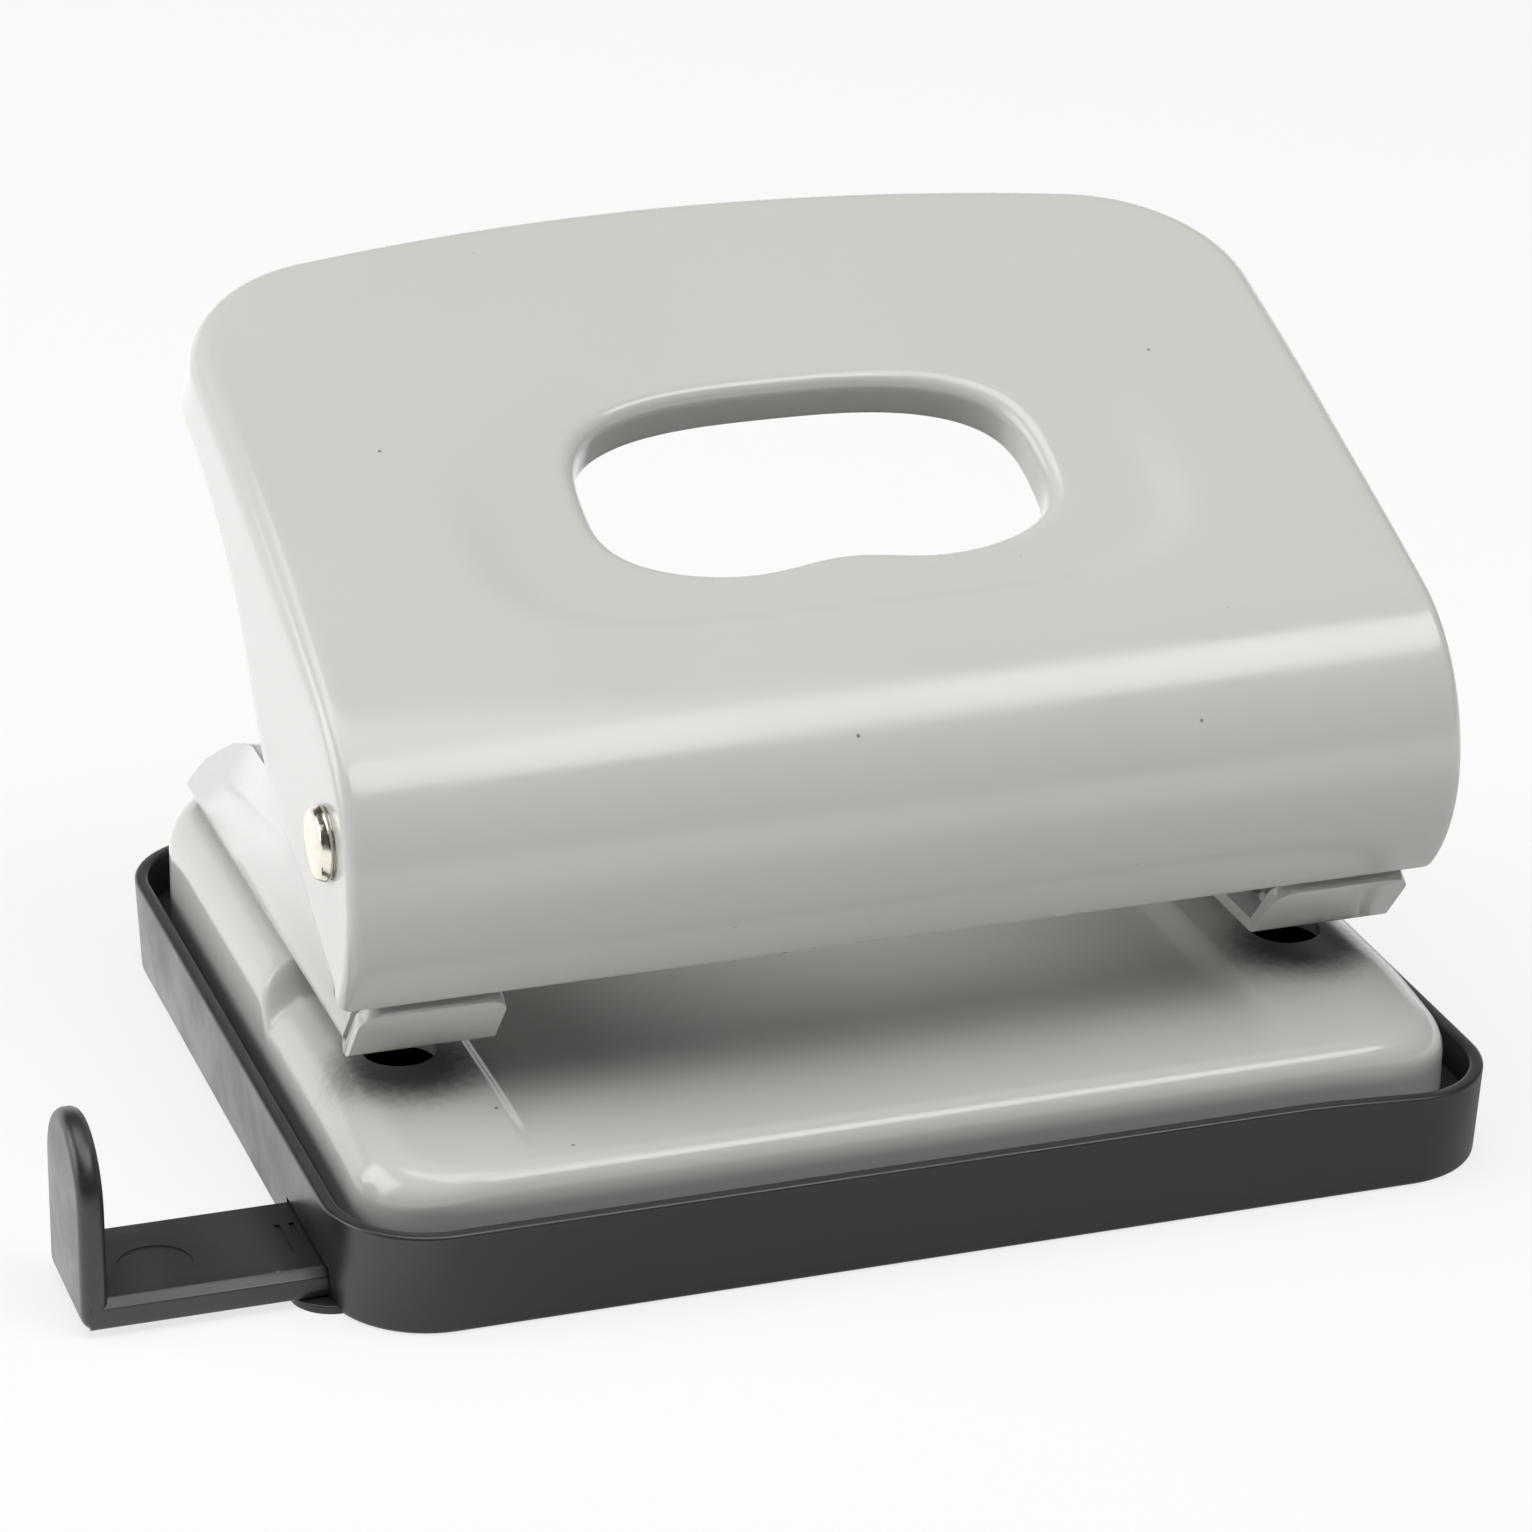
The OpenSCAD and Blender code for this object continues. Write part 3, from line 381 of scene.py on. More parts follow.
def specks(t, xyz, size_mm, share, radius):
    """Dots in the cells of a Voronoi pattern whose random colour is above share: 1 near the
    middle of a cell, 0 beyond the radius (a part of the cell's size)."""
    cell = add(t, "TexVoronoi", {"feature": "F1"}, Scale=per(size_mm), Randomness=1.0, Vector=xyz)
    chance = add(t, "SeparateColor", Color=cell.outputs["Color"])
    rare = add(t, "MapRange", SMOOTH, chance, share, share + 0.04, 0.0, 1.0)
    dot = add(t, "MapRange", SMOOTH, cell, 0.02, radius, 1.0, 0.0)
    return add(t, "Math", TIMES, rare, dot)


def cover(t, base, relief, strength, depth_mm, uneven, span, gloss, **rest):
    """Ends a material: a bump from the relief pattern, and a roughness that goes from one
    gloss value to the other as the uneven pattern goes through its span."""
    bump = add(t, "Bump", Strength=strength, Distance=depth_mm * MM, Height=relief)
    rough = add(t, "MapRange", SMOOTH, uneven, *span, *gloss)
    skin = add(t, "BsdfPrincipled", Base_Color=base, Normal=bump, Roughness=rough, **rest)
    add(t, "OutputMaterial", (), skin)


print("a pattern of 1 mm has scale", per(1))

# %% [markdown]
# ### Gloss enamel on steel
# The lever, the base plate and the brackets are pressed steel with a stoved warm grey enamel.
# Its reflections are clear but slightly soft, because the surface has orange peel: waves about
# 1.5 mm long and a few micrometres high. Handling leaves faint duller smears, and dust that
# settled before the enamel was dry leaves tiny dark specks. A dielectric with an IOR of 1.5
# does this without a separate coat. In front of each die the base is darkened in a soft patch
# with a ragged edge: partly grease and paper dust, partly painted shade where the bracket's lip
# hangs over the die.

# %% Enamel
PEEL_MM, SMEAR_MM, SPECK_MM, TONE_MM, CRUMB_MM = 1.5, 22.0, 5.0, 30.0, 0.8
PATCH_AHEAD, PATCH_Z, PATCH_DARK, PATCH_FROM, PATCH_TO = 3.0, 12.6, 0.86, 4.0, 9.5
m, t, xyz = new_material("gloss_enamel_on_steel")
enamel = (m, "paint")
tone = add(t, "TexNoise", Scale=per(TONE_MM), Detail=3.0, Vector=xyz)
smear = add(t, "TexNoise", Scale=per(SMEAR_MM), Detail=3.0, Distortion=0.3, Vector=xyz)
peel = add(t, "TexNoise", Scale=per(PEEL_MM), Detail=1.0, Vector=xyz)
speck = specks(t, xyz, SPECK_MM, 0.82, 0.05)
shade = add(t, "Mix", COLOUR, tone, i6=linear("#cbcac6"), i7=linear("#c5c4c0"))
dirt = add(t, "Mix", COLOUR, speck, i6=shade, i7=linear("#7f7b74"))
part = add(t, "SeparateXYZ", Vector=xyz)
side = add(t, "Math", {"operation": "ABSOLUTE"}, part.outputs[0])
both = add(t, "CombineXYZ", X=side, Y=part.outputs[1], Z=part.outputs[2])
# Painted shade and grease: a soft dark patch just in front of each die, under the bracket lip.
patch = Vector((PIN_X, PIN_Y - PATCH_AHEAD, PATCH_Z)) * MM
apart = add(t, "VectorMath", {"operation": "DISTANCE"}, both, patch)
crumbs = add(t, "TexNoise", Scale=per(CRUMB_MM), Detail=4.0, Vector=xyz)
ragged = add(t, "Math", {"operation": "MULTIPLY_ADD"}, crumbs, 2 * MM, apart)
grease_and_shade = add(t, "MapRange", SMOOTH, ragged, PATCH_FROM * MM, PATCH_TO * MM, PATCH_DARK, 0.0)
soiled_and_shaded = add(t, "Mix", COLOUR, grease_and_shade, i6=dirt, i7=linear("#302b27"))
cover(t, soiled_and_shaded, peel, 0.12, 0.02, smear, (0.3, 0.75), (0.14, 0.23), IOR=1.5)
print(m.name, "has", len(t.nodes), "nodes")

# %% [markdown]
# ### Moulded black polystyrene
# The tray and the guide are injection moulded in black polystyrene. A polished mould gives a
# soft sheen, flow and handling make it uneven, and its cast is slightly brown. Fine pale scuffs
# run along it from use.

# %% Polystyrene
GRAIN_MM, RUB_MM, SCUFF_MM, DUST_MM = 0.35, 9.0, 1.1, 3.2
m, t, xyz = new_material("moulded_black_polystyrene")
black = (m, "black_plastic")
cloud = add(t, "TexNoise", Scale=per(RUB_MM), Detail=6.0, Roughness=0.65, Vector=xyz)
grain = add(t, "TexNoise", Scale=per(GRAIN_MM), Detail=2.0, Vector=xyz)
drawn = add(t, "Mapping", Vector=xyz, Scale=(0.12, 1.0, 1.0))
scuff = add(t, "TexNoise", Scale=per(SCUFF_MM), Detail=8.0, Roughness=0.75, Vector=drawn)
dust = specks(t, xyz, DUST_MM, 0.8, 0.06)
line = add(t, "MapRange", SMOOTH, scuff, 0.63, 0.78, 0.0, 0.35)
pale = add(t, "Math", {"operation": "MAXIMUM"}, line, dust)
tone = add(t, "Mix", COLOUR, cloud, i6=linear("#242322"), i7=linear("#2e2b29"))
worn = add(t, "Mix", COLOUR, pale, i6=tone, i7=linear("#6d6964"))
cover(t, worn, grain, 0.1, 0.03, cloud, (0.3, 0.7), (0.29, 0.42), IOR=1.57)
print(m.name, "has", len(t.nodes), "nodes")

# %% [markdown]
# ### Metals
# The pivot rivets are nickel plated: warm, bright, with smudges. Pins, washers and the press
# bar are turned or rolled steel with a zinc finish, greyer and streaked along the tool marks.
# The springs and clips are drawn and stamped spring steel, darker, with lines along the wire.
# All three are one idea: a metal with streaks of a certain length and gloss.

# %% Metal finishes
SMUDGE_MM = 2.5


def metal(name, slot, dark, light, rough, streak_mm):
    """A bare or plated metal: colour and gloss wander between two values in streaks of the
    given length, eight times as fine across as along X."""
    m, t, xyz = new_material(name)
    drawn = add(t, "Mapping", Vector=xyz, Scale=(0.125, 1.0, 1.0))
    streak = add(
        t, "TexNoise", Scale=per(streak_mm / 8), Detail=6.0, Roughness=0.6, Vector=drawn
    )
    smudge = add(t, "TexNoise", Scale=per(SMUDGE_MM), Detail=3.0, Distortion=0.8, Vector=xyz)
    shade = add(t, "Mix", COLOUR, smudge, i6=linear(dark), i7=linear(light))
    cover(t, shade, streak, 0.15, 0.01, streak, (0.3, 0.7), rough, Metallic=1.0)
    return m, slot


nickel = metal("nickel_plate", "nickel", "#c4bdb0", "#e2ddd2", (0.14, 0.3), 3.0)
steel = metal("zinc_plated_steel", "bright_steel", "#a9abad", "#cfd1d3", (0.28, 0.42), 4.0)
wire = metal("drawn_spring_wire", "spring_steel", "#85878a", "#a8aaad", (0.25, 0.4), 2.0)
finish_of = {f[1]: f[0] for f in (enamel, black, nickel, steel, wire)}
for row in frame["record"]["subparts"]:
    node[row["node"]].data.materials.clear()
    node[row["node"]].data.materials.append(finish_of[row["material_slot"]])
print("finishes", sorted(m.name for m in finish_of.values()))

# %% [markdown]
# ## The lever
# The lever is one blank of 1 mm sheet: a roll at the front where the palm pushes, a crowned top
# that runs back, sides folded down into flanges, and a finger hole with a turned-in rim. Its
# middle section is a curve of length s: an arc round the roll and a very flat arc behind it.
# A point of the face is (x, s, depth below it). The roll is then an exact cylinder, and its
# highlight a straight band as on the real one.

# %% Section of the lever
SHEET_T = 1.0
ROLL_R, ROLL_START, ROLL_END = 15.4, 223.4, 114.0
CROWN_R = 417.0
TOP_LENGTH = 60.3
FOLD_R, FOLD_R_FRONT = 1.8, SHEET_T + 0.15
ROLL_FROM_PIVOT = np.array([8.5, -3.3])
roll_centre = PIVOT + ROLL_FROM_PIVOT
roll_length = ROLL_R * np.radians(ROLL_START - ROLL_END)
roll_way = np.array([np.cos(np.radians(ROLL_END)), np.sin(np.radians(ROLL_END))])
crown_centre = roll_centre + (ROLL_R - CROWN_R) * roll_way


def way(s):
    """Angle of the face's normal at length s: the arc length over the radius, backwards."""
    on_roll = np.radians(ROLL_START) - s / ROLL_R
    return np.where(s < roll_length, on_roll, np.radians(ROLL_END) - (s - roll_length) / CROWN_R)


def normal(s):
    """Outward normal of the face at length s: cos and sin of its angle in Y-Z."""
    a = way(s)
    return np.stack([np.zeros_like(a), np.cos(a), np.sin(a)], -1)


def tangent(s):
    """Direction in which s grows: the normal turned back by a right angle."""
    a = way(s)
    return np.stack([np.zeros_like(a), np.sin(a), -np.cos(a)], -1)


def on_face(x, s, depth=0.0):
    """Point at x across and s along: the arc's centre + its radius along the normal, less
    the depth along the normal."""
    n = normal(s)
    rolled = (s < roll_length)[..., None]
    centre = np.where(rolled, roll_centre, crown_centre)
    radius = np.where(rolled[..., 0], ROLL_R, CROWN_R) - depth
    p = radius[..., None] * n
    p[..., 1:] += centre
    p[..., 0] = x
    return p


print("roll", round(roll_length, 2), "mm of", round(roll_length + TOP_LENGTH, 2))

# %% [markdown]
# ### Outline of the face
# The face's outline is a straight front edge, two sides, two round rear corners and a slightly
# bowed rear edge. Each point also has the direction in which the sheet folds away there. Points
# crowd toward the ends of the front edge (CROWD above 1), and the roll is joined to the plate
# at JOIN, just behind the roll's end.

# %% Outline
REAR_R, CORNER_R, JOIN, CROWD = 180.0, 15.4, 31.0, 1.15
FRONT_STEPS, ROLL_STEPS, SIDE_STEPS, CORNER_STEPS, REAR_STEPS = 64, 34, 45, 24, 60
face_half = LEVER_HALF - FOLD_R
face_end = roll_length + TOP_LENGTH - FOLD_R
inner_corner, big_r = CORNER_R - FOLD_R, REAR_R - FOLD_R
corner_x = face_half - inner_corner
corner_s = face_end - big_r + np.sqrt((big_r - inner_corner) ** 2 - corner_x**2)
corner_a = np.arcsin(corner_x / (big_r - inner_corner))


def side_x(s):
    """Half width of the flat face beside s: the fold is tighter beside the roll."""
    return LEVER_HALF - mix(FOLD_R_FRONT, FOLD_R, smooth((s - 0.7 * roll_length) / roll_length))


def stretch_of(x, s, out_x, out_s):
    """Rows (x, s, way out) of a stretch of the outline."""
    return np.stack(np.broadcast_arrays(x, s, out_x, out_s), -1)


def mirrored(e):
    """The same outline points on the left, in the opposite order."""
    return (e * [-1, 1, -1, 1])[::-1]


spread = np.linspace(-1, 1, FRONT_STEPS + 1)
across = np.sign(spread) * (1 - (1 - np.abs(spread)) ** CROWD)
front_s = np.linspace(0, JOIN, ROLL_STEPS + 1)
side_s = np.linspace(JOIN, corner_s, SIDE_STEPS + 1)
front_line = stretch_of(side_x(JOIN) * across, JOIN, 0, -1)
side = stretch_of(side_x(side_s), side_s, 1, 0)
turn = np.linspace(0, np.pi / 2 - corner_a, CORNER_STEPS + 1)
out_x, out_s = np.cos(turn), np.sin(turn)
corner = stretch_of(corner_x + inner_corner * out_x, corner_s + inner_corner * out_s, out_x, out_s)
turn = np.linspace(corner_a, -corner_a, REAR_STEPS + 1)
out_x, out_s = np.sin(turn), np.cos(turn)
rear = stretch_of(big_r * out_x, face_end - big_r + big_r * out_s, out_x, out_s)
outline = np.concatenate(
    [front_line, side[1:], corner[1:], rear[1:], mirrored(corner)[1:], mirrored(side)[1:-1]]
)
print("outline", len(outline), "points")

# %% [markdown]
# ### Finger hole, recess and plate
# Rows of points run from the hole out to the outline. The hole and the shallow recess round it
# are superellipses |x/a|^n + |s/b|^n = 1, and the hole's front edge has a low tab in its middle.
# The rim turns in through a quarter circle and goes down a little.

# %% Plate
HOLE_S = roll_length + 20.0
HOLE_A, HOLE_REAR, HOLE_FRONT, HOLE_N = 20.1, 12.2, 10.1, 2.8
RIM_DEPTH, LIP_R = 4.0, 1.5
TAB_H, TAB_W = 1.6, 40.0
RECESS_A, RECESS_B, RECESS_N, RECESS_EDGE, RECESS_DEPTH = 32.5, 16.6, 4.0, 0.15, 0.6
FADE_FROM, FADE_OVER = 4.5, 16.0

seen = outline[:, :2] - [0, HOLE_S]
room = np.where(seen[:, 1] < 0, HOLE_S - JOIN, face_end - HOLE_S)
seen = seen / np.stack([np.full(len(seen), face_half), room], -1)


def ring(a, b, n):
    """Where the rays from the hole's middle meet the superellipse of half axes a and b."""
    q = (np.abs(seen) ** n).sum(-1) ** (1 / n)
    return np.stack([a * seen[:, 0] / q, HOLE_S + b * seen[:, 1] / q], -1)


def recess_depth(x, s):
    """Depth of the recess: full near the roll, fading to nothing behind, and rising to the
    face over the outer part of its superellipse."""
    level = np.abs(x / RECESS_A) ** RECESS_N + np.abs((s - HOLE_S) / RECESS_B) ** RECESS_N
    level = level ** (1 / RECESS_N)
    fade = 1 - smooth((on_face(x, s)[..., 1] - PIN_Y - FADE_FROM) / FADE_OVER)
    return RECESS_DEPTH * fade * (1 - smooth((level - 1 + RECESS_EDGE) / RECESS_EDGE))


def hole_rim():
    """Rows of the turned-in rim, from its lower end up and round: centre + lip radius times
    (cos(a) normal - sin(a) way out of the hole), and below that straight down."""
    front = seen[:, 1] < 0
    b = np.where(front, HOLE_FRONT, HOLE_REAR) + LIP_R
    a = HOLE_A + LIP_R
    q = (np.abs(seen) ** HOLE_N).sum(-1) ** (1 / HOLE_N)
    p = ring(a, b, HOLE_N)
    slope = np.sign(seen) * np.abs(seen / q[:, None]) ** (HOLE_N - 1)
    g = unit(np.stack([slope[:, 0] / a, slope[:, 1] / b], -1))
    p[:, 1] += np.where(front, TAB_H * np.exp(-p[:, 0] ** 2 / TAB_W), 0)
    n = normal(p[:, 1])
    h = g[:, 1:] * tangent(p[:, 1])
    h[:, 0] += g[:, 0]
    centre = on_face(p[:, 0], p[:, 1], recess_depth(p[:, 0], p[:, 1]) + LIP_R)
    rows = [centre - LIP_R * h - d * n for d in np.linspace(RIM_DEPTH - LIP_R, 0, 5)[:-1]]
    angles = np.linspace(np.pi / 2, 0, 10)
    rows += [centre + LIP_R * (np.cos(a) * n - np.sin(a) * h) for a in angles]
    return rows, p


rim_points, hole_line = hole_rim()
inner_line = ring(RECESS_A * (1 - RECESS_EDGE), RECESS_B * (1 - RECESS_EDGE), RECESS_N)
outer_line = ring(RECESS_A, RECESS_B, RECESS_N)
lines = [mix(hole_line, inner_line, f) for f in np.linspace(0, 1, 5)[1:]]
lines += [mix(inner_line, outer_line, f) for f in np.linspace(0, 1, 7)[1:]]
lines += [mix(outer_line, outline[:, :2], f) for f in np.linspace(0, 1, 17)[1:]]
plate_points = [on_face(l[:, 0], l[:, 1], recess_depth(l[:, 0], l[:, 1])) for l in lines]
print("plate rows", len(rim_points) + len(plate_points))

# %% [markdown]
# ### Roll, folds and flanges
# The roll is a plain grid in x and s, joined to the plate along one line. The fold is a row of
# quarter circles, and below it the flange runs straight down to its lower edge: a short front,
# a slope past the pivot, and a long curve back to the rim that goes round the rear.

# %% Roll and flanges
RIM_H, RIM_FLARE = 7.0, 0.8
S_BREAK = roll_length / 9 * np.array([1, 5])
EDGE_1, EDGE_2 = PIVOT + [-1.4, -11.9], PIVOT + [9.0, -6.4]
HANDLE_1, HANDLE_2 = PIVOT + [28.9, -2.5], PIVOT + [18.5, 8.8]
BELOW_ROLL = np.array([0.5, 0.15])
roll_x = side_x(front_s)[:, None] * across
roll_points = on_face(roll_x, np.repeat(front_s[:, None], len(across), 1))


def flange_edge(s):
    """Lower edge of a flange in Y-Z beside s: two straight stretches, then a cubic Bezier
    curve to the lower edge of the rim."""
    first = on_face(np.zeros(1), np.zeros(1), FOLD_R_FRONT)[0, 1:] + BELOW_ROLL
    rim_s = np.array([corner_s])
    last = (on_face(np.zeros(1), rim_s) - RIM_H * normal(rim_s))[0, 1:]
    t = ((s - S_BREAK[1]) / (corner_s - S_BREAK[1])).clip(0, 1)[:, None]
    curve = (1 - t) ** 3 * EDGE_2 + 3 * t * (1 - t) ** 2 * HANDLE_1
    curve = curve + 3 * t**2 * (1 - t) * HANDLE_2 + t**3 * last
    front = mix(first, EDGE_1, (s / S_BREAK[0])[:, None])
    slope = mix(EDGE_1, EDGE_2, ((s - S_BREAK[0]) / (S_BREAK[1] - S_BREAK[0]))[:, None])
    return np.where(s[:, None] < S_BREAK[0], front, np.where(s[:, None] < S_BREAK[1], slope, curve))


front_side = stretch_of(side_x(front_s), front_s, 1, 0)
fold_line = np.concatenate([front_side[:-1], side, corner[1:], rear[1:], mirrored(corner)[1:],
                            mirrored(side)[1:], mirrored(front_side)[1:]])
fx, fs, fn, ft = fold_line.T
beside = (np.abs(fn) > 0.999) & (fs <= corner_s + 0.001)
radius = np.where(beside, LEVER_HALF - side_x(fs), FOLD_R)[:, None]
side_way = ft[:, None] * tangent(fs)
side_way[:, 0] += fn


def folded(angle):
    """The fold at an angle: edge + radius (sin(a) sideways - (1 - cos(a)) normal)."""
    turned = np.sin(angle) * side_way - (1 - np.cos(angle)) * normal(fs)
    return on_face(fx, fs) + radius * turned


fold_end = folded(np.pi / 2)
flare = RIM_FLARE * smooth(np.abs(ft) / 0.5)[:, None]
lower = fold_end - (RIM_H - FOLD_R) * normal(fs) + flare * side_way
lower[beside] = np.concatenate([fold_end[beside, :1], flange_edge(fs[beside])], 1)
fold_rows = [folded(a) for a in np.linspace(0, np.pi / 2, 10)[1:]]
fold_rows += [mix(fold_end, lower, f) for f in np.linspace(0, 1, 11)[1:]]
print("fold and flange rows", len(fold_rows))

# %% [markdown]
# ### One sheet
# The three patches share point numbers along their seams, so the lever is one surface with two
# free edges: the hole's rim and the outer edge. The bores for the pivot rivets are cut last.

# %% Lever shell
LEVER_EDGE = 0.35
roll_numbers = numbers(0, *roll_x.shape)
columns = len(outline)
plate_numbers = numbers(roll_numbers.size, len(rim_points) + len(plate_points), columns)
plate_numbers[-1, : len(across)] = roll_numbers[-1]
lever_points = np.concatenate([roll_points.reshape(-1, 3), *rim_points, *plate_points])
fold_numbers = numbers(len(lever_points), len(fold_rows) + 1, len(fold_line))
beyond = plate_numbers[-1, len(across) :]
fold_numbers[0] = np.concatenate([roll_numbers[:, -1], beyond, roll_numbers[::-1, 0]])
lever_points = np.concatenate([lever_points, folded(0.0), *fold_rows])
lever_faces = np.concatenate(
    [quads(roll_numbers), quads(closed(plate_numbers), True), quads(fold_numbers, True)]
)
inward = -SHEET_T * point_normals(lever_points, lever_faces)
lever = make_piece(
    "lever_sheet", *sheet(lever_points, lever_faces, inward, LEVER_EDGE), "lever",
    "lever_shell", enamel,
)
PIVOT_BORE_R = 2.05
sides = [[s * (LEVER_HALF - SHEET_T / 2), *PIVOT] for s in (-1, 1)]
print("lever faces", cut_cylinders(lever, sides, PIVOT_BORE_R, 4, (1, 0, 0)))

# %% [markdown]
# ## The base plate
# The base is a drawn pan: its top is a height over (x, y), with a sunk middle panel where the
# sheets lie, pads that rise under the pins and platforms that carry the brackets. Its corners
# are a grid drawn in to quarter circles, and its edge rolls over a shoulder into a skirt. The
# sheet is as thick on the steps as elsewhere, so the underside is given as well.
# The step up to the left pad has two sharp bends 1.4 mm apart, seen as a double bright line.
# The one on the right is a broad soft slope nearer the middle, its bends 2.7 mm apart.

# %% Height of the deck
BASE_T, DECK_Z, PAD_Z, PLATFORM_Z, SKIRT_Z = 1.2, 12.4, 13.6, 16.8, 5.05
SHOULDER_R, END_SHOULDER_R, BASE_CORNER_R = 2.0, 4.5, 8.0
STEP_W, PANEL_HALF, STOP_Y, RAMP = 2.4, 31.0, -4.5, 14.0
LEFT_BENDS, RIGHT_BENDS = (33.3, 34.7), (30.2, 32.9)
FINE_FROM, FINE_TO = 30, 35
STEEPEST = 1.7
deck_hx = base_high[0] - END_SHOULDER_R
deck_hy = base_high[1] - SHOULDER_R
deck_r = BASE_CORNER_R - SHOULDER_R


def deck_z(x, y):
    """Front deck, raised to the pads at the sides along a ramp, then up a step to the
    platforms behind the paper stop."""
    at_side = smooth((np.abs(x) - PANEL_HALF) / STEP_W)
    start, end = (np.where(x < 0, a, b) for a, b in zip(LEFT_BENDS, RIGHT_BENDS))
    on_pad = smooth((np.abs(x) - start) / (end - start))
    pad = DECK_Z + (PAD_Z - DECK_Z) * on_pad * smooth((y + deck_hy) / RAMP)
    return mix(pad, PLATFORM_Z, at_side * smooth((y - STOP_Y) / STEP_W))


def drop(x, y):
    """Upright thickness of the sheet: thickness times sqrt(1 + slope^2), at most 1.7 times."""
    e = 0.2
    gx = (deck_z(x + e, y) - deck_z(x - e, y)) / (2 * e)
    gy = (deck_z(x, y + e) - deck_z(x, y - e)) / (2 * e)
    return BASE_T * np.minimum(STEEPEST, np.sqrt(1 + gx**2 + gy**2))


half = runs((0, FINE_FROM, 24), (FINE_FROM, FINE_TO, 40), (FINE_TO, deck_hx - deck_r, 4),
            (deck_hx - deck_r, deck_hx, 9))
grid_x = np.concatenate([-half[:0:-1], half])
grid_y = runs((-deck_hy, deck_r - deck_hy, 9), (deck_r - deck_hy, RAMP - deck_hy, 8),
              (RAMP - deck_hy, STOP_Y, 12), (STOP_Y, STOP_Y + STEP_W, 12),
              (STOP_Y + STEP_W, deck_hy - deck_r, 16), (deck_hy - deck_r, deck_hy, 9))
gx, gy = np.meshgrid(grid_x, grid_y)
px = ((np.abs(gx) - deck_hx + deck_r) / deck_r).clip(0)
py = ((np.abs(gy) - deck_hy + deck_r) / deck_r).clip(0)
qx, qy = px * np.sqrt(1 - py**2 / 2), py * np.sqrt(1 - px**2 / 2)
deck_x = gx + np.sign(gx) * deck_r * (qx - px)
deck_y = gy + np.sign(gy) * deck_r * (qy - py)
top = np.stack([deck_x, deck_y, deck_z(deck_x, deck_y)], -1)
under = top - [0, 0, 1] * drop(deck_x, deck_y)[..., None]
outward = unit(np.stack([np.sign(gx) * qx, np.sign(gy) * qy, 0 * qx], -1))
print("deck grid", top.shape[:2], "highest", round(float(top[..., 2].max()), 2))

# %% [markdown]
# ### Shoulder and skirt
# Rows go out from the deck's edge over a round shoulder, larger at the two ends than at the
# front and back, and then down. The same rows one thickness further in are the inner face.

# %% Shoulder and skirt
SHOULDER_STEPS, BASE_EDGE = 12, 0.25


def border(table):
    """The values round the edge of a table, anticlockwise seen from above."""
    return np.concatenate([table[0, :-1], table[:-1, -1], table[-1, :0:-1], table[:0:-1, 0]])


edge, out_way = border(top), border(outward)
shoulder = mix(SHOULDER_R, END_SHOULDER_R, out_way[:, :1] ** 2)


def rim_rows(wall):
    """Rows over the shoulder and down the skirt, a wall's thickness inside the outer face:
    centre + (radius - wall)(sin(a) outward + cos(a) up), then straight down."""
    r = shoulder - wall
    centre = edge - shoulder * UP
    angles = np.linspace(0, np.pi / 2, SHOULDER_STEPS + 1)[1:]
    rows = [centre + r * (np.sin(a) * out_way + np.cos(a) * UP) for a in angles]
    foot = rows[-1].copy()
    foot[:, 2] = SKIRT_Z
    return rows + [mix(rows[-1], foot, f) for f in (0.35, 0.7, 1)]


outer_rows, inner_rows = rim_rows(0), rim_rows(BASE_T)
deck_numbers = numbers(0, *gx.shape)
rim_numbers = numbers(gx.size, len(outer_rows), len(edge))
rim_numbers = closed(np.concatenate([border(deck_numbers)[None], rim_numbers]))
base_points = np.concatenate([top.reshape(-1, 3), *outer_rows])
base_inner = np.concatenate([under.reshape(-1, 3), *inner_rows])
base_faces = np.concatenate([quads(deck_numbers), quads(rim_numbers, True)])
base = make_piece(
    "base_pan", *sheet(base_points, base_faces, base_inner - base_points, BASE_EDGE),
    "frame", "base_plate", enamel,
)
DIE_CLEARANCE, FOOT_RIVET_R, FOOT_X = 0.1, 1.65, PIN_X + 0.3
FRONT_FOOT, BRACKET_BACK, REAR_FOOT = 12.5, 6.4, 6.8
foot_y = [STOP_Y + FRONT_FOOT, base_high[1] - BRACKET_BACK - REAR_FOOT]
dies = [(s * PIN_X, PIN_Y, PAD_Z) for s in (-1, 1)]
feet = [(s * FOOT_X, y, PLATFORM_Z) for s in (-1, 1) for y in foot_y]
cut_cylinders(base, dies, PIN_R + DIE_CLEARANCE, 8, (0, 0, 1))
print("base faces", cut_cylinders(base, feet, FOOT_RIVET_R, 8, (0, 0, 1)))

# %% [markdown]
# ## The tray
# The tray is a moulded box: one profile, a list of (inset, height) with a mould's small radii,
# carried round a rectangle with round corners. The thin right end sags a little, as long thin
# walls do when they cool.

# %% Tray profile
TRAY_WALL, TRAY_FLOOR, LEDGE_W, LEDGE_H, DRAFT = 1.2, 0.7, 2.6, 5.0, 0.4
TRAY_CORNER_R, EDGE_R, FOOT_R = 9.0, 0.3, 0.5
SAG, SAG_FROM, SAG_OVER = 0.8, 0.6, 0.35
tray_hx = tray_high[0]
tray_hy = (tray_high[1] - tray_low[1]) / 2
tray_h = tray_high[2]


def arc(x, z, r, start, end, n=5):
    """Points of an arc round (x, z) from one angle to another, in degrees."""
    a = np.radians(np.linspace(start, end, n))
    return np.stack([x + r * np.cos(a), z + r * np.sin(a)], -1)


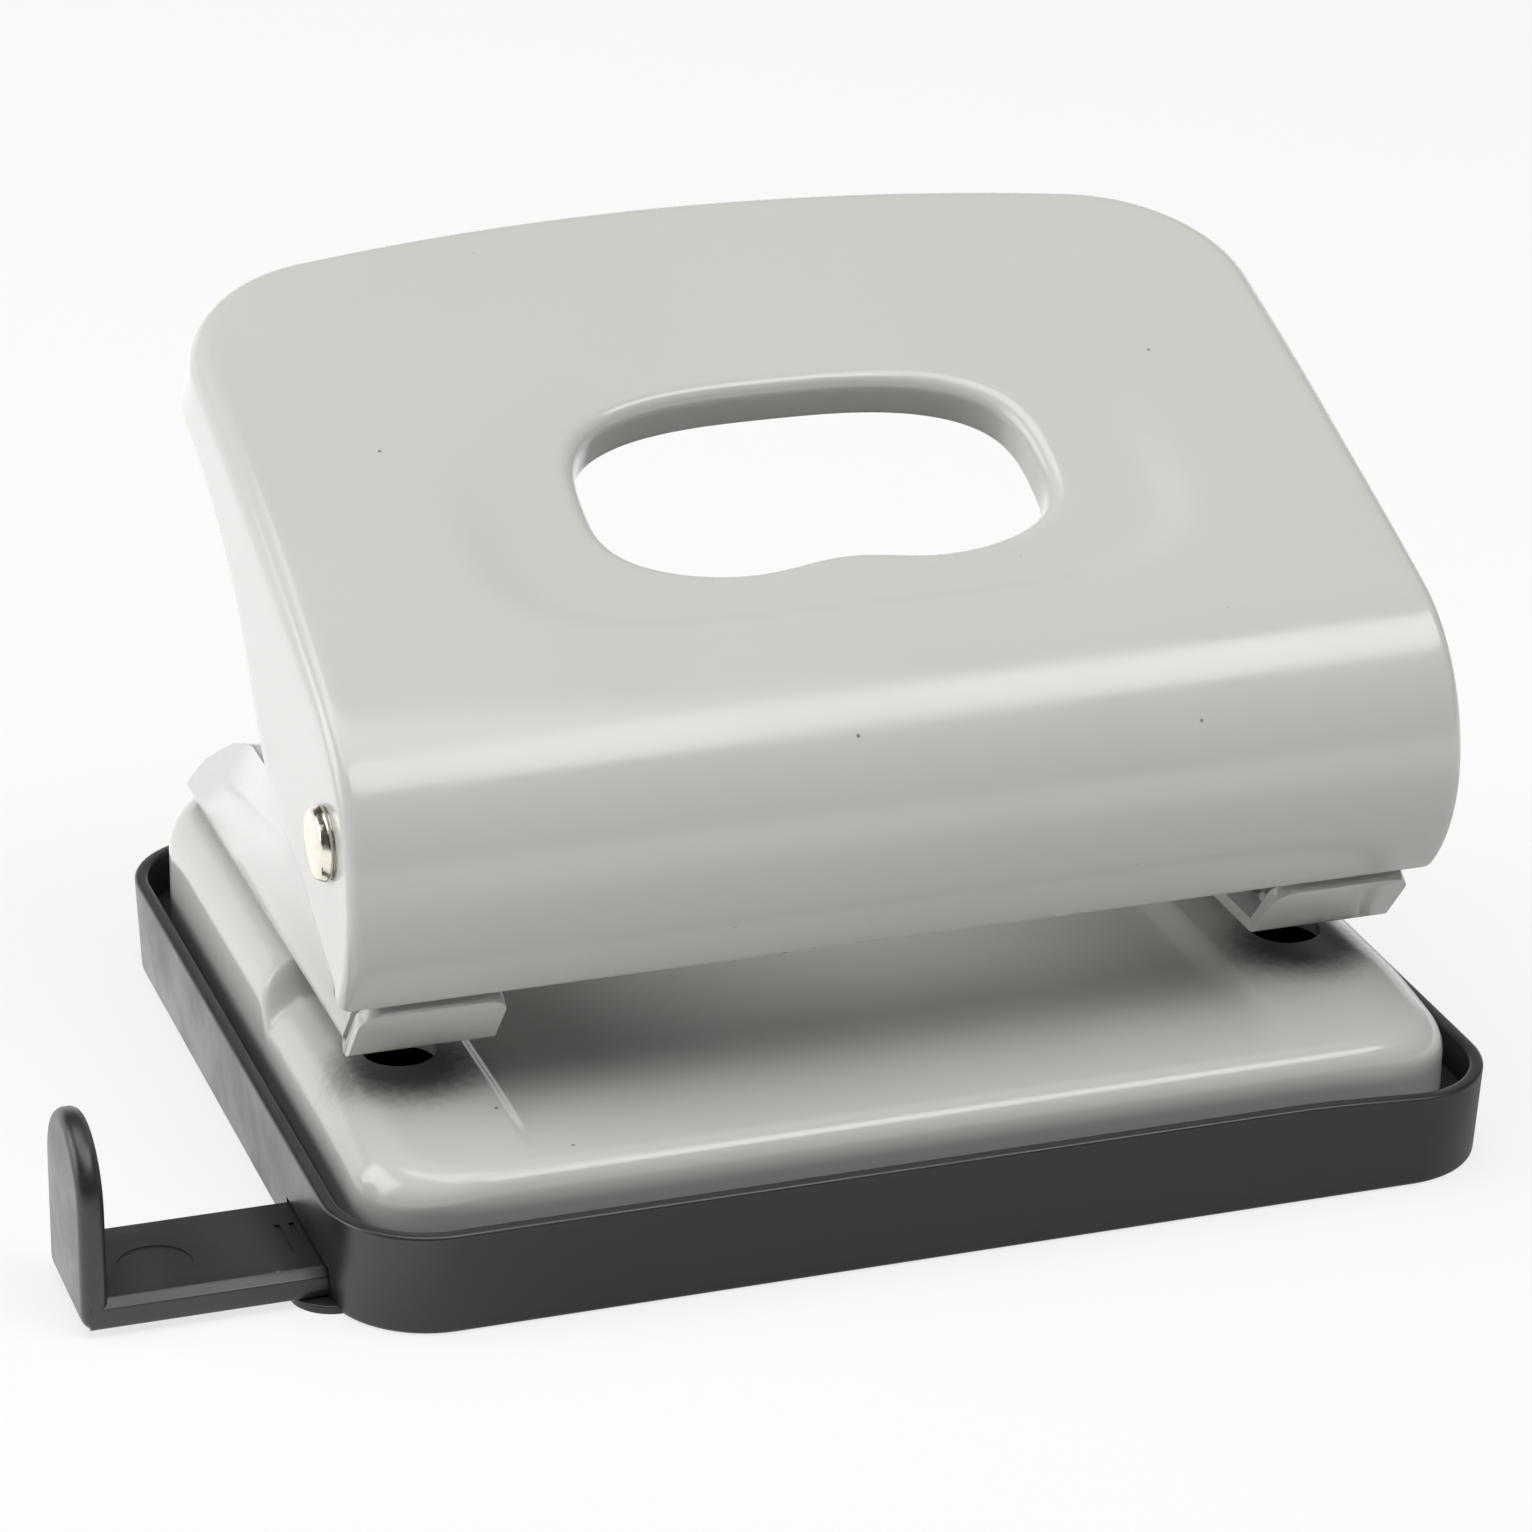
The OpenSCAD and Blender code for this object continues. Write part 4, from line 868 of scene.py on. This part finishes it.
profile = np.concatenate([
    arc(DRAFT + FOOT_R, FOOT_R, FOOT_R, 270, 180),
    arc(EDGE_R, tray_h - EDGE_R, EDGE_R, 180, 90),
    arc(TRAY_WALL - EDGE_R, tray_h - EDGE_R, EDGE_R, 90, 0),
    arc(TRAY_WALL + EDGE_R, LEDGE_H + EDGE_R, EDGE_R, 180, 270),
    arc(TRAY_WALL + LEDGE_W - EDGE_R, LEDGE_H - EDGE_R, EDGE_R, 90, 0),
    arc(TRAY_WALL + LEDGE_W + EDGE_R, TRAY_FLOOR + EDGE_R, EDGE_R, 180, 270),
])


def round_rect(inset, n_side=24, n_corner=16):
    """Points round the tray's outline, a distance inside it: four quarter circles joined by
    straight sides that are divided evenly, anticlockwise from the rear right corner."""
    r = max(TRAY_CORNER_R - inset, 0.3)
    x, y = tray_hx - inset - r, tray_hy - inset - r
    centres = ((x, y, 0), (-x, y, 90), (-x, -y, 180), (x, -y, 270))
    loop = [arc(cx, cy, r, turn, turn + 90, n_corner + 1) for cx, cy, turn in centres]
    f = np.linspace(0, 1, n_side + 1)[1:-1, None]
    sides = [mix(a[-1], b[0], f) for a, b in zip(loop, loop[1:] + loop[:1])]
    return np.concatenate([p for pair in zip(loop, sides) for p in pair])


tray_points = np.stack([np.insert(round_rect(inset), 2, z, 1) for inset, z in profile])
sag = SAG * smooth((tray_points[..., 0] / tray_hx - SAG_FROM) / SAG_OVER)
height = tray_points[..., 2]
tray_points[..., 2] -= sag * (height / tray_h).clip(0, 1) ** 2 * (height > LEDGE_H)
tray = make_piece("tray_shell", tray_points, capped(tray_points), "tray", "chip_tray", black)
print("tray rows", tray_points.shape[:2])

# %% [markdown]
# ### Slot, rails and tongue
# The guide bar passes through a slot in the tray's left wall, between two rails on the floor
# and under two bridges, and a round tongue of the floor reaches out below it. The rails reach
# a little into the walls and the floor, so that the union leaves no slit.

# %% Slot and rails
GUIDE_T, GUIDE_C, SLOT_C, RAIL_T, BRIDGE_W, BRIDGE_T = 2.4, 0.05, 0.3, 1.0, 5.0, 0.8
SUNK_SIDE, RAIL_LOW, FIRST_BRIDGE, TONGUE_R, TONGUE_SOFT = 0.5, 0.3, 1.5, 3.6, 0.15
DISC_STEPS = 48
guide_low, guide_high = box_mm("paper_guide")
guide_y = (guide_low[1] + guide_high[1]) / 2
guide_half = (guide_high[1] - guide_low[1]) / 2
slot_half = guide_half + SLOT_C
slot_h = GUIDE_T + GUIDE_C + SLOT_C
rail_half = tray_hx - TRAY_WALL - LEDGE_W


def block(*spans):
    """A closed box mesh over the spans (low, high) of X, Y and Z, in millimetres."""
    work = bmesh.new()
    bmesh.ops.create_cube(work, size=1)
    for v in work.verts:
        v.co = [((c + 0.5) * (b - a) + a) * MM for c, (a, b) in zip(v.co, spans)]
    return plain(work, "block")


top_z = TRAY_FLOOR + slot_h
wide, broad = (guide_y - slot_half, guide_y + slot_half), slot_half + RAIL_T
for x in (-tray_hx - 1, rail_half - 1):
    reach = TRAY_WALL + LEDGE_W + 2 if x < 0 else LEDGE_W + 1
    combine(tray, block((x, x + reach), wide, (TRAY_FLOOR, top_z)), "DIFFERENCE")
for s in (-1, 1):
    y = guide_y + s * (slot_half + RAIL_T / 2)
    along, thick = rail_half + SUNK_SIDE, (y - RAIL_T / 2, y + RAIL_T / 2)
    combine(tray, block((-along, along), thick, (RAIL_LOW, top_z)), "UNION")
for x in (FIRST_BRIDGE - rail_half, 0):
    over = (guide_y - broad, guide_y + broad), (top_z, top_z + BRIDGE_T)
    combine(tray, block((x, x + BRIDGE_W), *over), "UNION")


def disc(centre, r, z0, z1, soft):
    """A closed flat disc of radius r between two heights, its upper edge rounded by soft."""
    profile = np.concatenate([[[r, z0]], arc(r - soft, z1 - soft, soft, 0, 90, 4)])
    a = np.linspace(0, 2 * np.pi, DISC_STEPS + 1)[:-1]
    x, y = centre[0] + np.cos(a) * profile[:, :1], centre[1] + np.sin(a) * profile[:, :1]
    points = np.stack([x, y, 0 * x + profile[:, 1:]], -1)
    return raw_mesh("disc", points, capped(points))


tongue_at = (TRAY_WALL - tray_hx, guide_y - guide_half + TONGUE_R / 2)
tongue = disc(tongue_at, TONGUE_R, 0.0, TRAY_FLOOR, TONGUE_SOFT)
print("tray faces", combine(tray, tongue, "UNION"))

# %% [markdown]
# ## The paper guide
# The guide is a flat bar with an upright fence at its end. The fence's outline is a rectangle
# with a full round top, and its edges are well rounded, because fingers pull on it. It is one
# outline carried across the thickness, drawn in along a quarter circle near both faces.

# %% Fence
FENCE_T, FENCE_SOFT, FOOT_SOFT, FENCE_STEPS = 2.2, 0.95, 0.6, 9
fence_x0, fence_top = guide_low[0], guide_high[2]
guide_z, fence_r = guide_low[2], guide_half


def fence_outline(inset):
    """Points round the fence, a distance inside its outline: up one side, round the top and
    down the other, with small round corners below."""
    r, soft = fence_r - inset, FOOT_SOFT
    low = guide_z + inset
    top = fence_top - fence_r
    foot = np.concatenate([
        arc(-r + soft, low + soft, soft, 180, 270, 5),
        arc(r - soft, low + soft, soft, 270, 360, 5),
    ])
    sides = np.linspace(low + soft, top, 12)[1:-1]
    right = np.stack([0 * sides + r, sides], -1)
    return np.concatenate([foot, right, arc(0, top, r, 0, 180, 31), right[::-1] * [-1, 1]])


angles = np.linspace(0, np.pi / 2, FENCE_STEPS)
deep = FENCE_SOFT * (1 - np.sin(angles))
drawn_in = FENCE_SOFT * (1 - np.cos(angles))
across_x = np.concatenate([deep[::-1], FENCE_T - deep])
insets = np.concatenate([drawn_in[::-1], drawn_in])
fence_points = np.stack([
    np.insert(fence_outline(i), 0, 0.0, 1) + [fence_x0 + x, guide_y, 0]
    for x, i in zip(across_x, insets)
])
guide = make_piece(
    "guide_fence_and_bar", fence_points, capped(fence_points, True), "guide", "paper_guide", black
)

# %% [markdown]
# ### Bar
# The bar's section has small round edges and a bevel along its front upper edge. The thumb rest
# is a mould pin's shallow print, and three plain setting marks are sunk by a fifth of a millimetre.

# %% Bar
BAR_SOFT, BEVEL_W, BEVEL_H, BAR_IN_FENCE, BAR_TIP = 0.25, 1.1, 0.7, 0.6, 0.3
THUMB_X, THUMB_R, THUMB_SINK, THUMB_AHEAD = 4.9, 3.1, 0.07, 1.0
MARK_X, MARK_PITCH, MARK_W, MARK_L, SINK = 15.6, 1.2, 0.5, 5.0, 0.2
bar_top = guide_z + GUIDE_T
bar_end = guide_high[0]
front_y, back_y = guide_y - guide_half, guide_y + guide_half
section = np.concatenate([
    arc(back_y - BAR_SOFT, guide_z + BAR_SOFT, BAR_SOFT, 270, 360, 4),
    arc(back_y - BAR_SOFT, bar_top - BAR_SOFT, BAR_SOFT, 0, 90, 4),
    arc(front_y + BEVEL_W, bar_top - 0.5, 0.5, 90, 118, 4),
    arc(front_y + 0.3, bar_top - BEVEL_H - 0.1, 0.3, 118, 180, 4),
    arc(front_y + BAR_SOFT, guide_z + BAR_SOFT, BAR_SOFT, 180, 270, 4),
])
centre = section.mean(0)
bar_x = [fence_x0 + BAR_IN_FENCE, bar_end - BAR_TIP, bar_end]
bar_points = np.stack([
    np.insert(mix(section, centre, f), 0, x, 1) for x, f in zip(bar_x, (0, 0, 0.03))
])
combine(guide, raw_mesh("bar", bar_points, capped(bar_points, True)), "UNION")
fence_face = fence_x0 + FENCE_T
print_at = (fence_face + THUMB_X, guide_y - THUMB_AHEAD)
print_disc = disc(print_at, THUMB_R, bar_top - THUMB_SINK, bar_top + 1, 0.1)
combine(guide, print_disc, "DIFFERENCE")
for i in range(3):
    x, y, z = fence_face + MARK_X + MARK_PITCH * i, guide_y - MARK_L / 2 + i, bar_top - SINK
    mark = block((x, x + MARK_W), (y, y + MARK_L - i), (z, z + 1))
    faces = combine(guide, mark, "DIFFERENCE")
print("guide faces", faces)

# %% [markdown]
# ## The brackets
# Each bracket is a folded stamping, exact in the CAD model but for the small radius that
# enamel gives its cut edges, so its mesh is copied, merged and bevelled.

# %% Brackets
BRACKET_SOFT, FOLD_DEGREES = 0.2, 35
SIDES = {"left": -1, "right": 1}


def softened(name, body, width, finish):
    """A merged copy of a CAD node, its sharp edges bevelled by a width, and its face count."""
    work = bmesh.new()
    work.from_mesh(node[name].data)
    bmesh.ops.remove_doubles(work, verts=work.verts, dist=1e-6)
    bmesh.ops.dissolve_limit(work, angle_limit=np.radians(0.5), verts=work.verts, edges=work.edges)
    piece = put(name + "_finished", plain(work, name))
    piece.data.shade_smooth()
    soft = piece.modifiers.new("soft_edges", "BEVEL")
    soft.width, soft.segments, soft.limit_method = width * MM, 2, "ANGLE"
    soft.angle_limit, soft.harden_normals = np.radians(FOLD_DEGREES), True
    faces = baked(piece, [soft])
    dressed(piece, body, name, finish)
    return faces


for side_name in SIDES:
    print("bracket faces", softened(side_name + "_bracket", "frame", BRACKET_SOFT, enamel))

# %% [markdown]
# ## Rivets
# A pivot rivet has a low crowned head whose edge is rolled. It is a profile turned about its
# axis: the inner head, the shank through bracket and flange, then a small round and a crown
# that falls away as the square of the radius.

# %% Rivets


def turned(name, body, replaced, profile, origin, axis, finish, steps=64):
    """A closed solid of revolution: points (radius, height) turned about an axis through the
    origin. The profile starts and ends on the axis, where a ring shrinks to one point."""
    a = np.linspace(0, 2 * np.pi, steps + 1)[:-1]
    w = unit(np.array(axis, float))
    u = unit(np.cross(w, [0.3, 0.5, 0.8]))
    v = np.cross(w, u)
    ringed = np.asarray(profile)[1:-1]
    circle = np.cos(a)[:, None] * u + np.sin(a)[:, None] * v
    points = ringed[:, :1, None] * circle + ringed[:, 1][:, None, None] * w + origin
    points = points.reshape(-1, 3)
    ends = np.array([origin + profile[0][1] * w, origin + profile[-1][1] * w])
    table = closed(numbers(0, len(ringed), steps))
    faces = quads(table).tolist()
    last = len(points)
    faces += [[last, b, a_] for a_, b in zip(table[0][:-1], table[0][1:])]
    faces += [[last + 1, a_, b] for a_, b in zip(table[-1][:-1], table[-1][1:])]
    return make_piece(name, np.concatenate([points, ends]), faces, body, replaced, finish)


RUN_C, BRACKET_OUT, BRACKET_T = 0.05, 6.2, 1.2
HEAD_R, SHANK_R, HEAD_H, INNER_HEAD_H = 3.15, 2.0, 1.3, 1.2
HEAD_X = LEVER_HALF + RUN_C
INNER_X = PIN_X + BRACKET_OUT - BRACKET_T - RUN_C
head = np.concatenate([
    [[0, INNER_X - INNER_HEAD_H]], arc(HEAD_R - 0.7, INNER_X - 0.7, 0.5, 270, 360, 6),
    [[HEAD_R - 0.2, INNER_X], [SHANK_R, INNER_X], [SHANK_R, HEAD_X], [HEAD_R - 0.12, HEAD_X]],
    arc(HEAD_R - 0.35, HEAD_X + 0.35, 0.35, 290, 400, 8),
    arc(HEAD_R - 0.75, HEAD_X + 0.55, 0.62, 40, 80, 5),
    np.stack([np.linspace(2.2, 0, 7), HEAD_X + HEAD_H - 0.12 * np.linspace(1, 0, 7) ** 2], -1),
])
for side_name, sign in SIDES.items():
    turned(side_name + "_rivet_head", "frame", side_name + "_pivot_rivet", head,
           np.array([0, *PIVOT]), (sign, 0, 0), nickel)
print("pivot rivet profile", head.shape)

# %% [markdown]
# ## Return springs
# The springs stand round the pins, under the lever. Their wire is round, so a ring of points
# is carried along the CAD model's coil: a helix with closer end turns.

# %% Springs
WIRE_R, TURNS, END_TURNS, STEPS_A_TURN, PIN_TRAVEL = 0.45, 5.0, 0.75, 40, 5.3
END_GAP, PIN_GAP, WIRE_SIDES = 0.5, 0.4, 16
COIL_R = PIN_R + PIN_GAP + WIRE_R


def coil(t, z0, rise):
    """Point of the coil's centre line after t turns: a circle, rising by a wire and END_GAP
    in each end turn and evenly between them."""
    end_pitch = 2 * WIRE_R + END_GAP
    pitch = (rise - 2 * END_TURNS * end_pitch) / (TURNS - 2 * END_TURNS)
    z = z0 + WIRE_R + end_pitch * np.minimum(t, END_TURNS)
    z = z + pitch * (t - END_TURNS).clip(0, TURNS - 2 * END_TURNS)
    z = z + end_pitch * (t - TURNS + END_TURNS).clip(0)
    a = 2 * np.pi * t
    return np.stack([COIL_R * np.cos(a), COIL_R * np.sin(a), z], -1)


for side_name, sign in SIDES.items():
    low, high = box_mm(side_name + "_return_spring")
    t = np.linspace(0, TURNS, int(TURNS * STEPS_A_TURN) + 1)
    centre = coil(t, low[2], high[2] - low[2] - 2 * WIRE_R)
    out = unit(centre * [1, 1, 0])
    a = np.linspace(0, 2 * np.pi, WIRE_SIDES + 1)[:-1]
    tube = centre[:, None] + WIRE_R * (np.cos(a)[:, None] * out[:, None] + np.sin(a)[:, None] * UP)
    tube = tube + [sign * PIN_X, PIN_Y, 0]
    spring = make_piece(
        side_name + "_coil", tube, capped(tube), "frame", side_name + "_return_spring", wire
    )
    height = high[2] - low[2]
    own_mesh(spring)
    print(spring.name, len(spring.data.polygons), "faces", round(height, 2), "mm high")

# %% [markdown]
# ## Floor and light
# The photograph is a packshot: white all round, with soft light from above and from the left,
# so the lever's left flange is its brightest face. The floor is a pale diffuse sheet that keeps
# a faint shadow. It glows for the camera and in reflections only, so the glow adds no light.
# Mirrored in the punch, the table is darker close in front of it than further out: this is painted
# shade, the punch's own shadow on the table put into the glow that reflections see.

# %% Floor
FLOOR_SIZE, FLOOR_GLOW = 4.0, 0.75
GLOW_IN_PAINTED_SHADE, GLOW_FURTHER = 0.5, 1.6
GLOW_CENTRE, NEAR, FAR = (0.04, -0.03, 0.0), 0.07, 0.11
bpy.ops.mesh.primitive_plane_add(size=FLOOR_SIZE)
floor = bpy.context.object
floor.name = "floor"
m, t, xyz = new_material("white_table")
ray = add(t, "LightPath")
straight, glossy = ray.outputs["Is Camera Ray"], ray.outputs["Is Glossy Ray"]
lit = add(t, "BsdfDiffuse", Color=(0.8, 0.8, 0.8, 1))
# Painted shade in reflections: the glow is dimmer near the punch and brighter further out.
away = add(t, "VectorMath", {"operation": "DISTANCE"}, xyz, GLOW_CENTRE)
mirrored = add(t, "MapRange", SMOOTH, away, NEAR, FAR, GLOW_IN_PAINTED_SHADE, GLOW_FURTHER)
strength = add(t, "Mix", i0=straight, i2=mirrored, i3=1.0)
glow = add(t, "Emission", Color=(1, 1, 1, 1), Strength=strength)
seen_by = add(t, "Math", {"operation": "MAXIMUM"}, straight, glossy)
share = add(t, "Math", TIMES, seen_by, FLOOR_GLOW)
both = add(t, "MixShader", (), share, lit, glow)
add(t, "OutputMaterial", (), both)
floor.data.materials.append(m)
print("floor", FLOOR_SIZE, "m square")

# %% [markdown]
# ### Room
# The camera sees a white room. Surfaces get a little light from all sides, and a reflection
# finds the room dark, apart from a backdrop that is bright low down behind the punch. That
# draws the thin bright lines on the base's bends.

# %% Room light
ROOM, FILL, BACKDROP = 0.06, 0.08, 1.2
REAR_FROM, REAR_TO, LOW_FROM, LOW_TO = 0.5, 0.8, 0.27, 0.34
world = bpy.data.worlds.new("studio")
bpy.context.scene.world = world
world.use_nodes = True
t = world.node_tree
t.nodes.clear()
ray = add(t, "LightPath")
straight, glossy = ray.outputs["Is Camera Ray"], ray.outputs["Is Glossy Ray"]
way = add(t, "SeparateXYZ", Vector=add(t, "TexCoord").outputs["Generated"])
behind = add(t, "MapRange", SMOOTH, way.outputs[1], REAR_FROM, REAR_TO, 0.0, 1.0)
low = add(t, "MapRange", SMOOTH, way.outputs[2], LOW_FROM, LOW_TO, BACKDROP, 0.0)
card = add(t, "Math", TIMES, behind, low)
mirrored = add(t, "Math", TIMES, card, glossy)
fill = add(t, "Mix", i0=glossy, i2=FILL, i3=ROOM)
level = add(t, "Math", {"operation": "ADD"}, mirrored, fill)
soft = add(t, "Background", Color=(1, 1, 1, 1), Strength=level)
white = add(t, "Background", Color=(1, 1, 1, 1), Strength=1.0)
both = add(t, "MixShader", (), straight, soft, white)
add(t, "OutputWorld", (), both)
print("room light", FILL)

# %% [markdown]
# ### Lamps
# A large lamp on the left lights the lever's flange, a large one above lights its top, and a
# wide one in front on the right is mirrored as the long bright band on the roll. Their powers
# were matched to the photograph.

# %% Lamps
AIM = Vector((0, 0, 0.03))


def softbox(name, at, size, power):
    """An area lamp at a place in metres, turned to face the middle of the object."""
    lamp = put(name, bpy.data.lights.new(name, "AREA"))
    lamp.data.shape = "RECTANGLE"
    lamp.data.size, lamp.data.size_y, lamp.data.energy = *size, power
    turn = (AIM - Vector(at)).to_track_quat("-Z", "Y").to_matrix().to_4x4()
    lamp.matrix_world = Matrix.Translation(at) @ turn


LEFT_POWER, TOP_POWER, FRONT_POWER = 9.2, 10.9, 7.2
softbox("left_box", (-1.1, 0.3, 0.5), (0.9, 0.8), LEFT_POWER)
softbox("top_box", (-0.15, -0.05, 1.3), (1.2, 0.9), TOP_POWER)
softbox("front_box", (0.49, -0.58, 1.15), (0.95, 0.42), FRONT_POWER)
bpy.context.scene.view_settings.view_transform = "Standard"
print("lamps", LEFT_POWER, TOP_POWER, FRONT_POWER, "W")
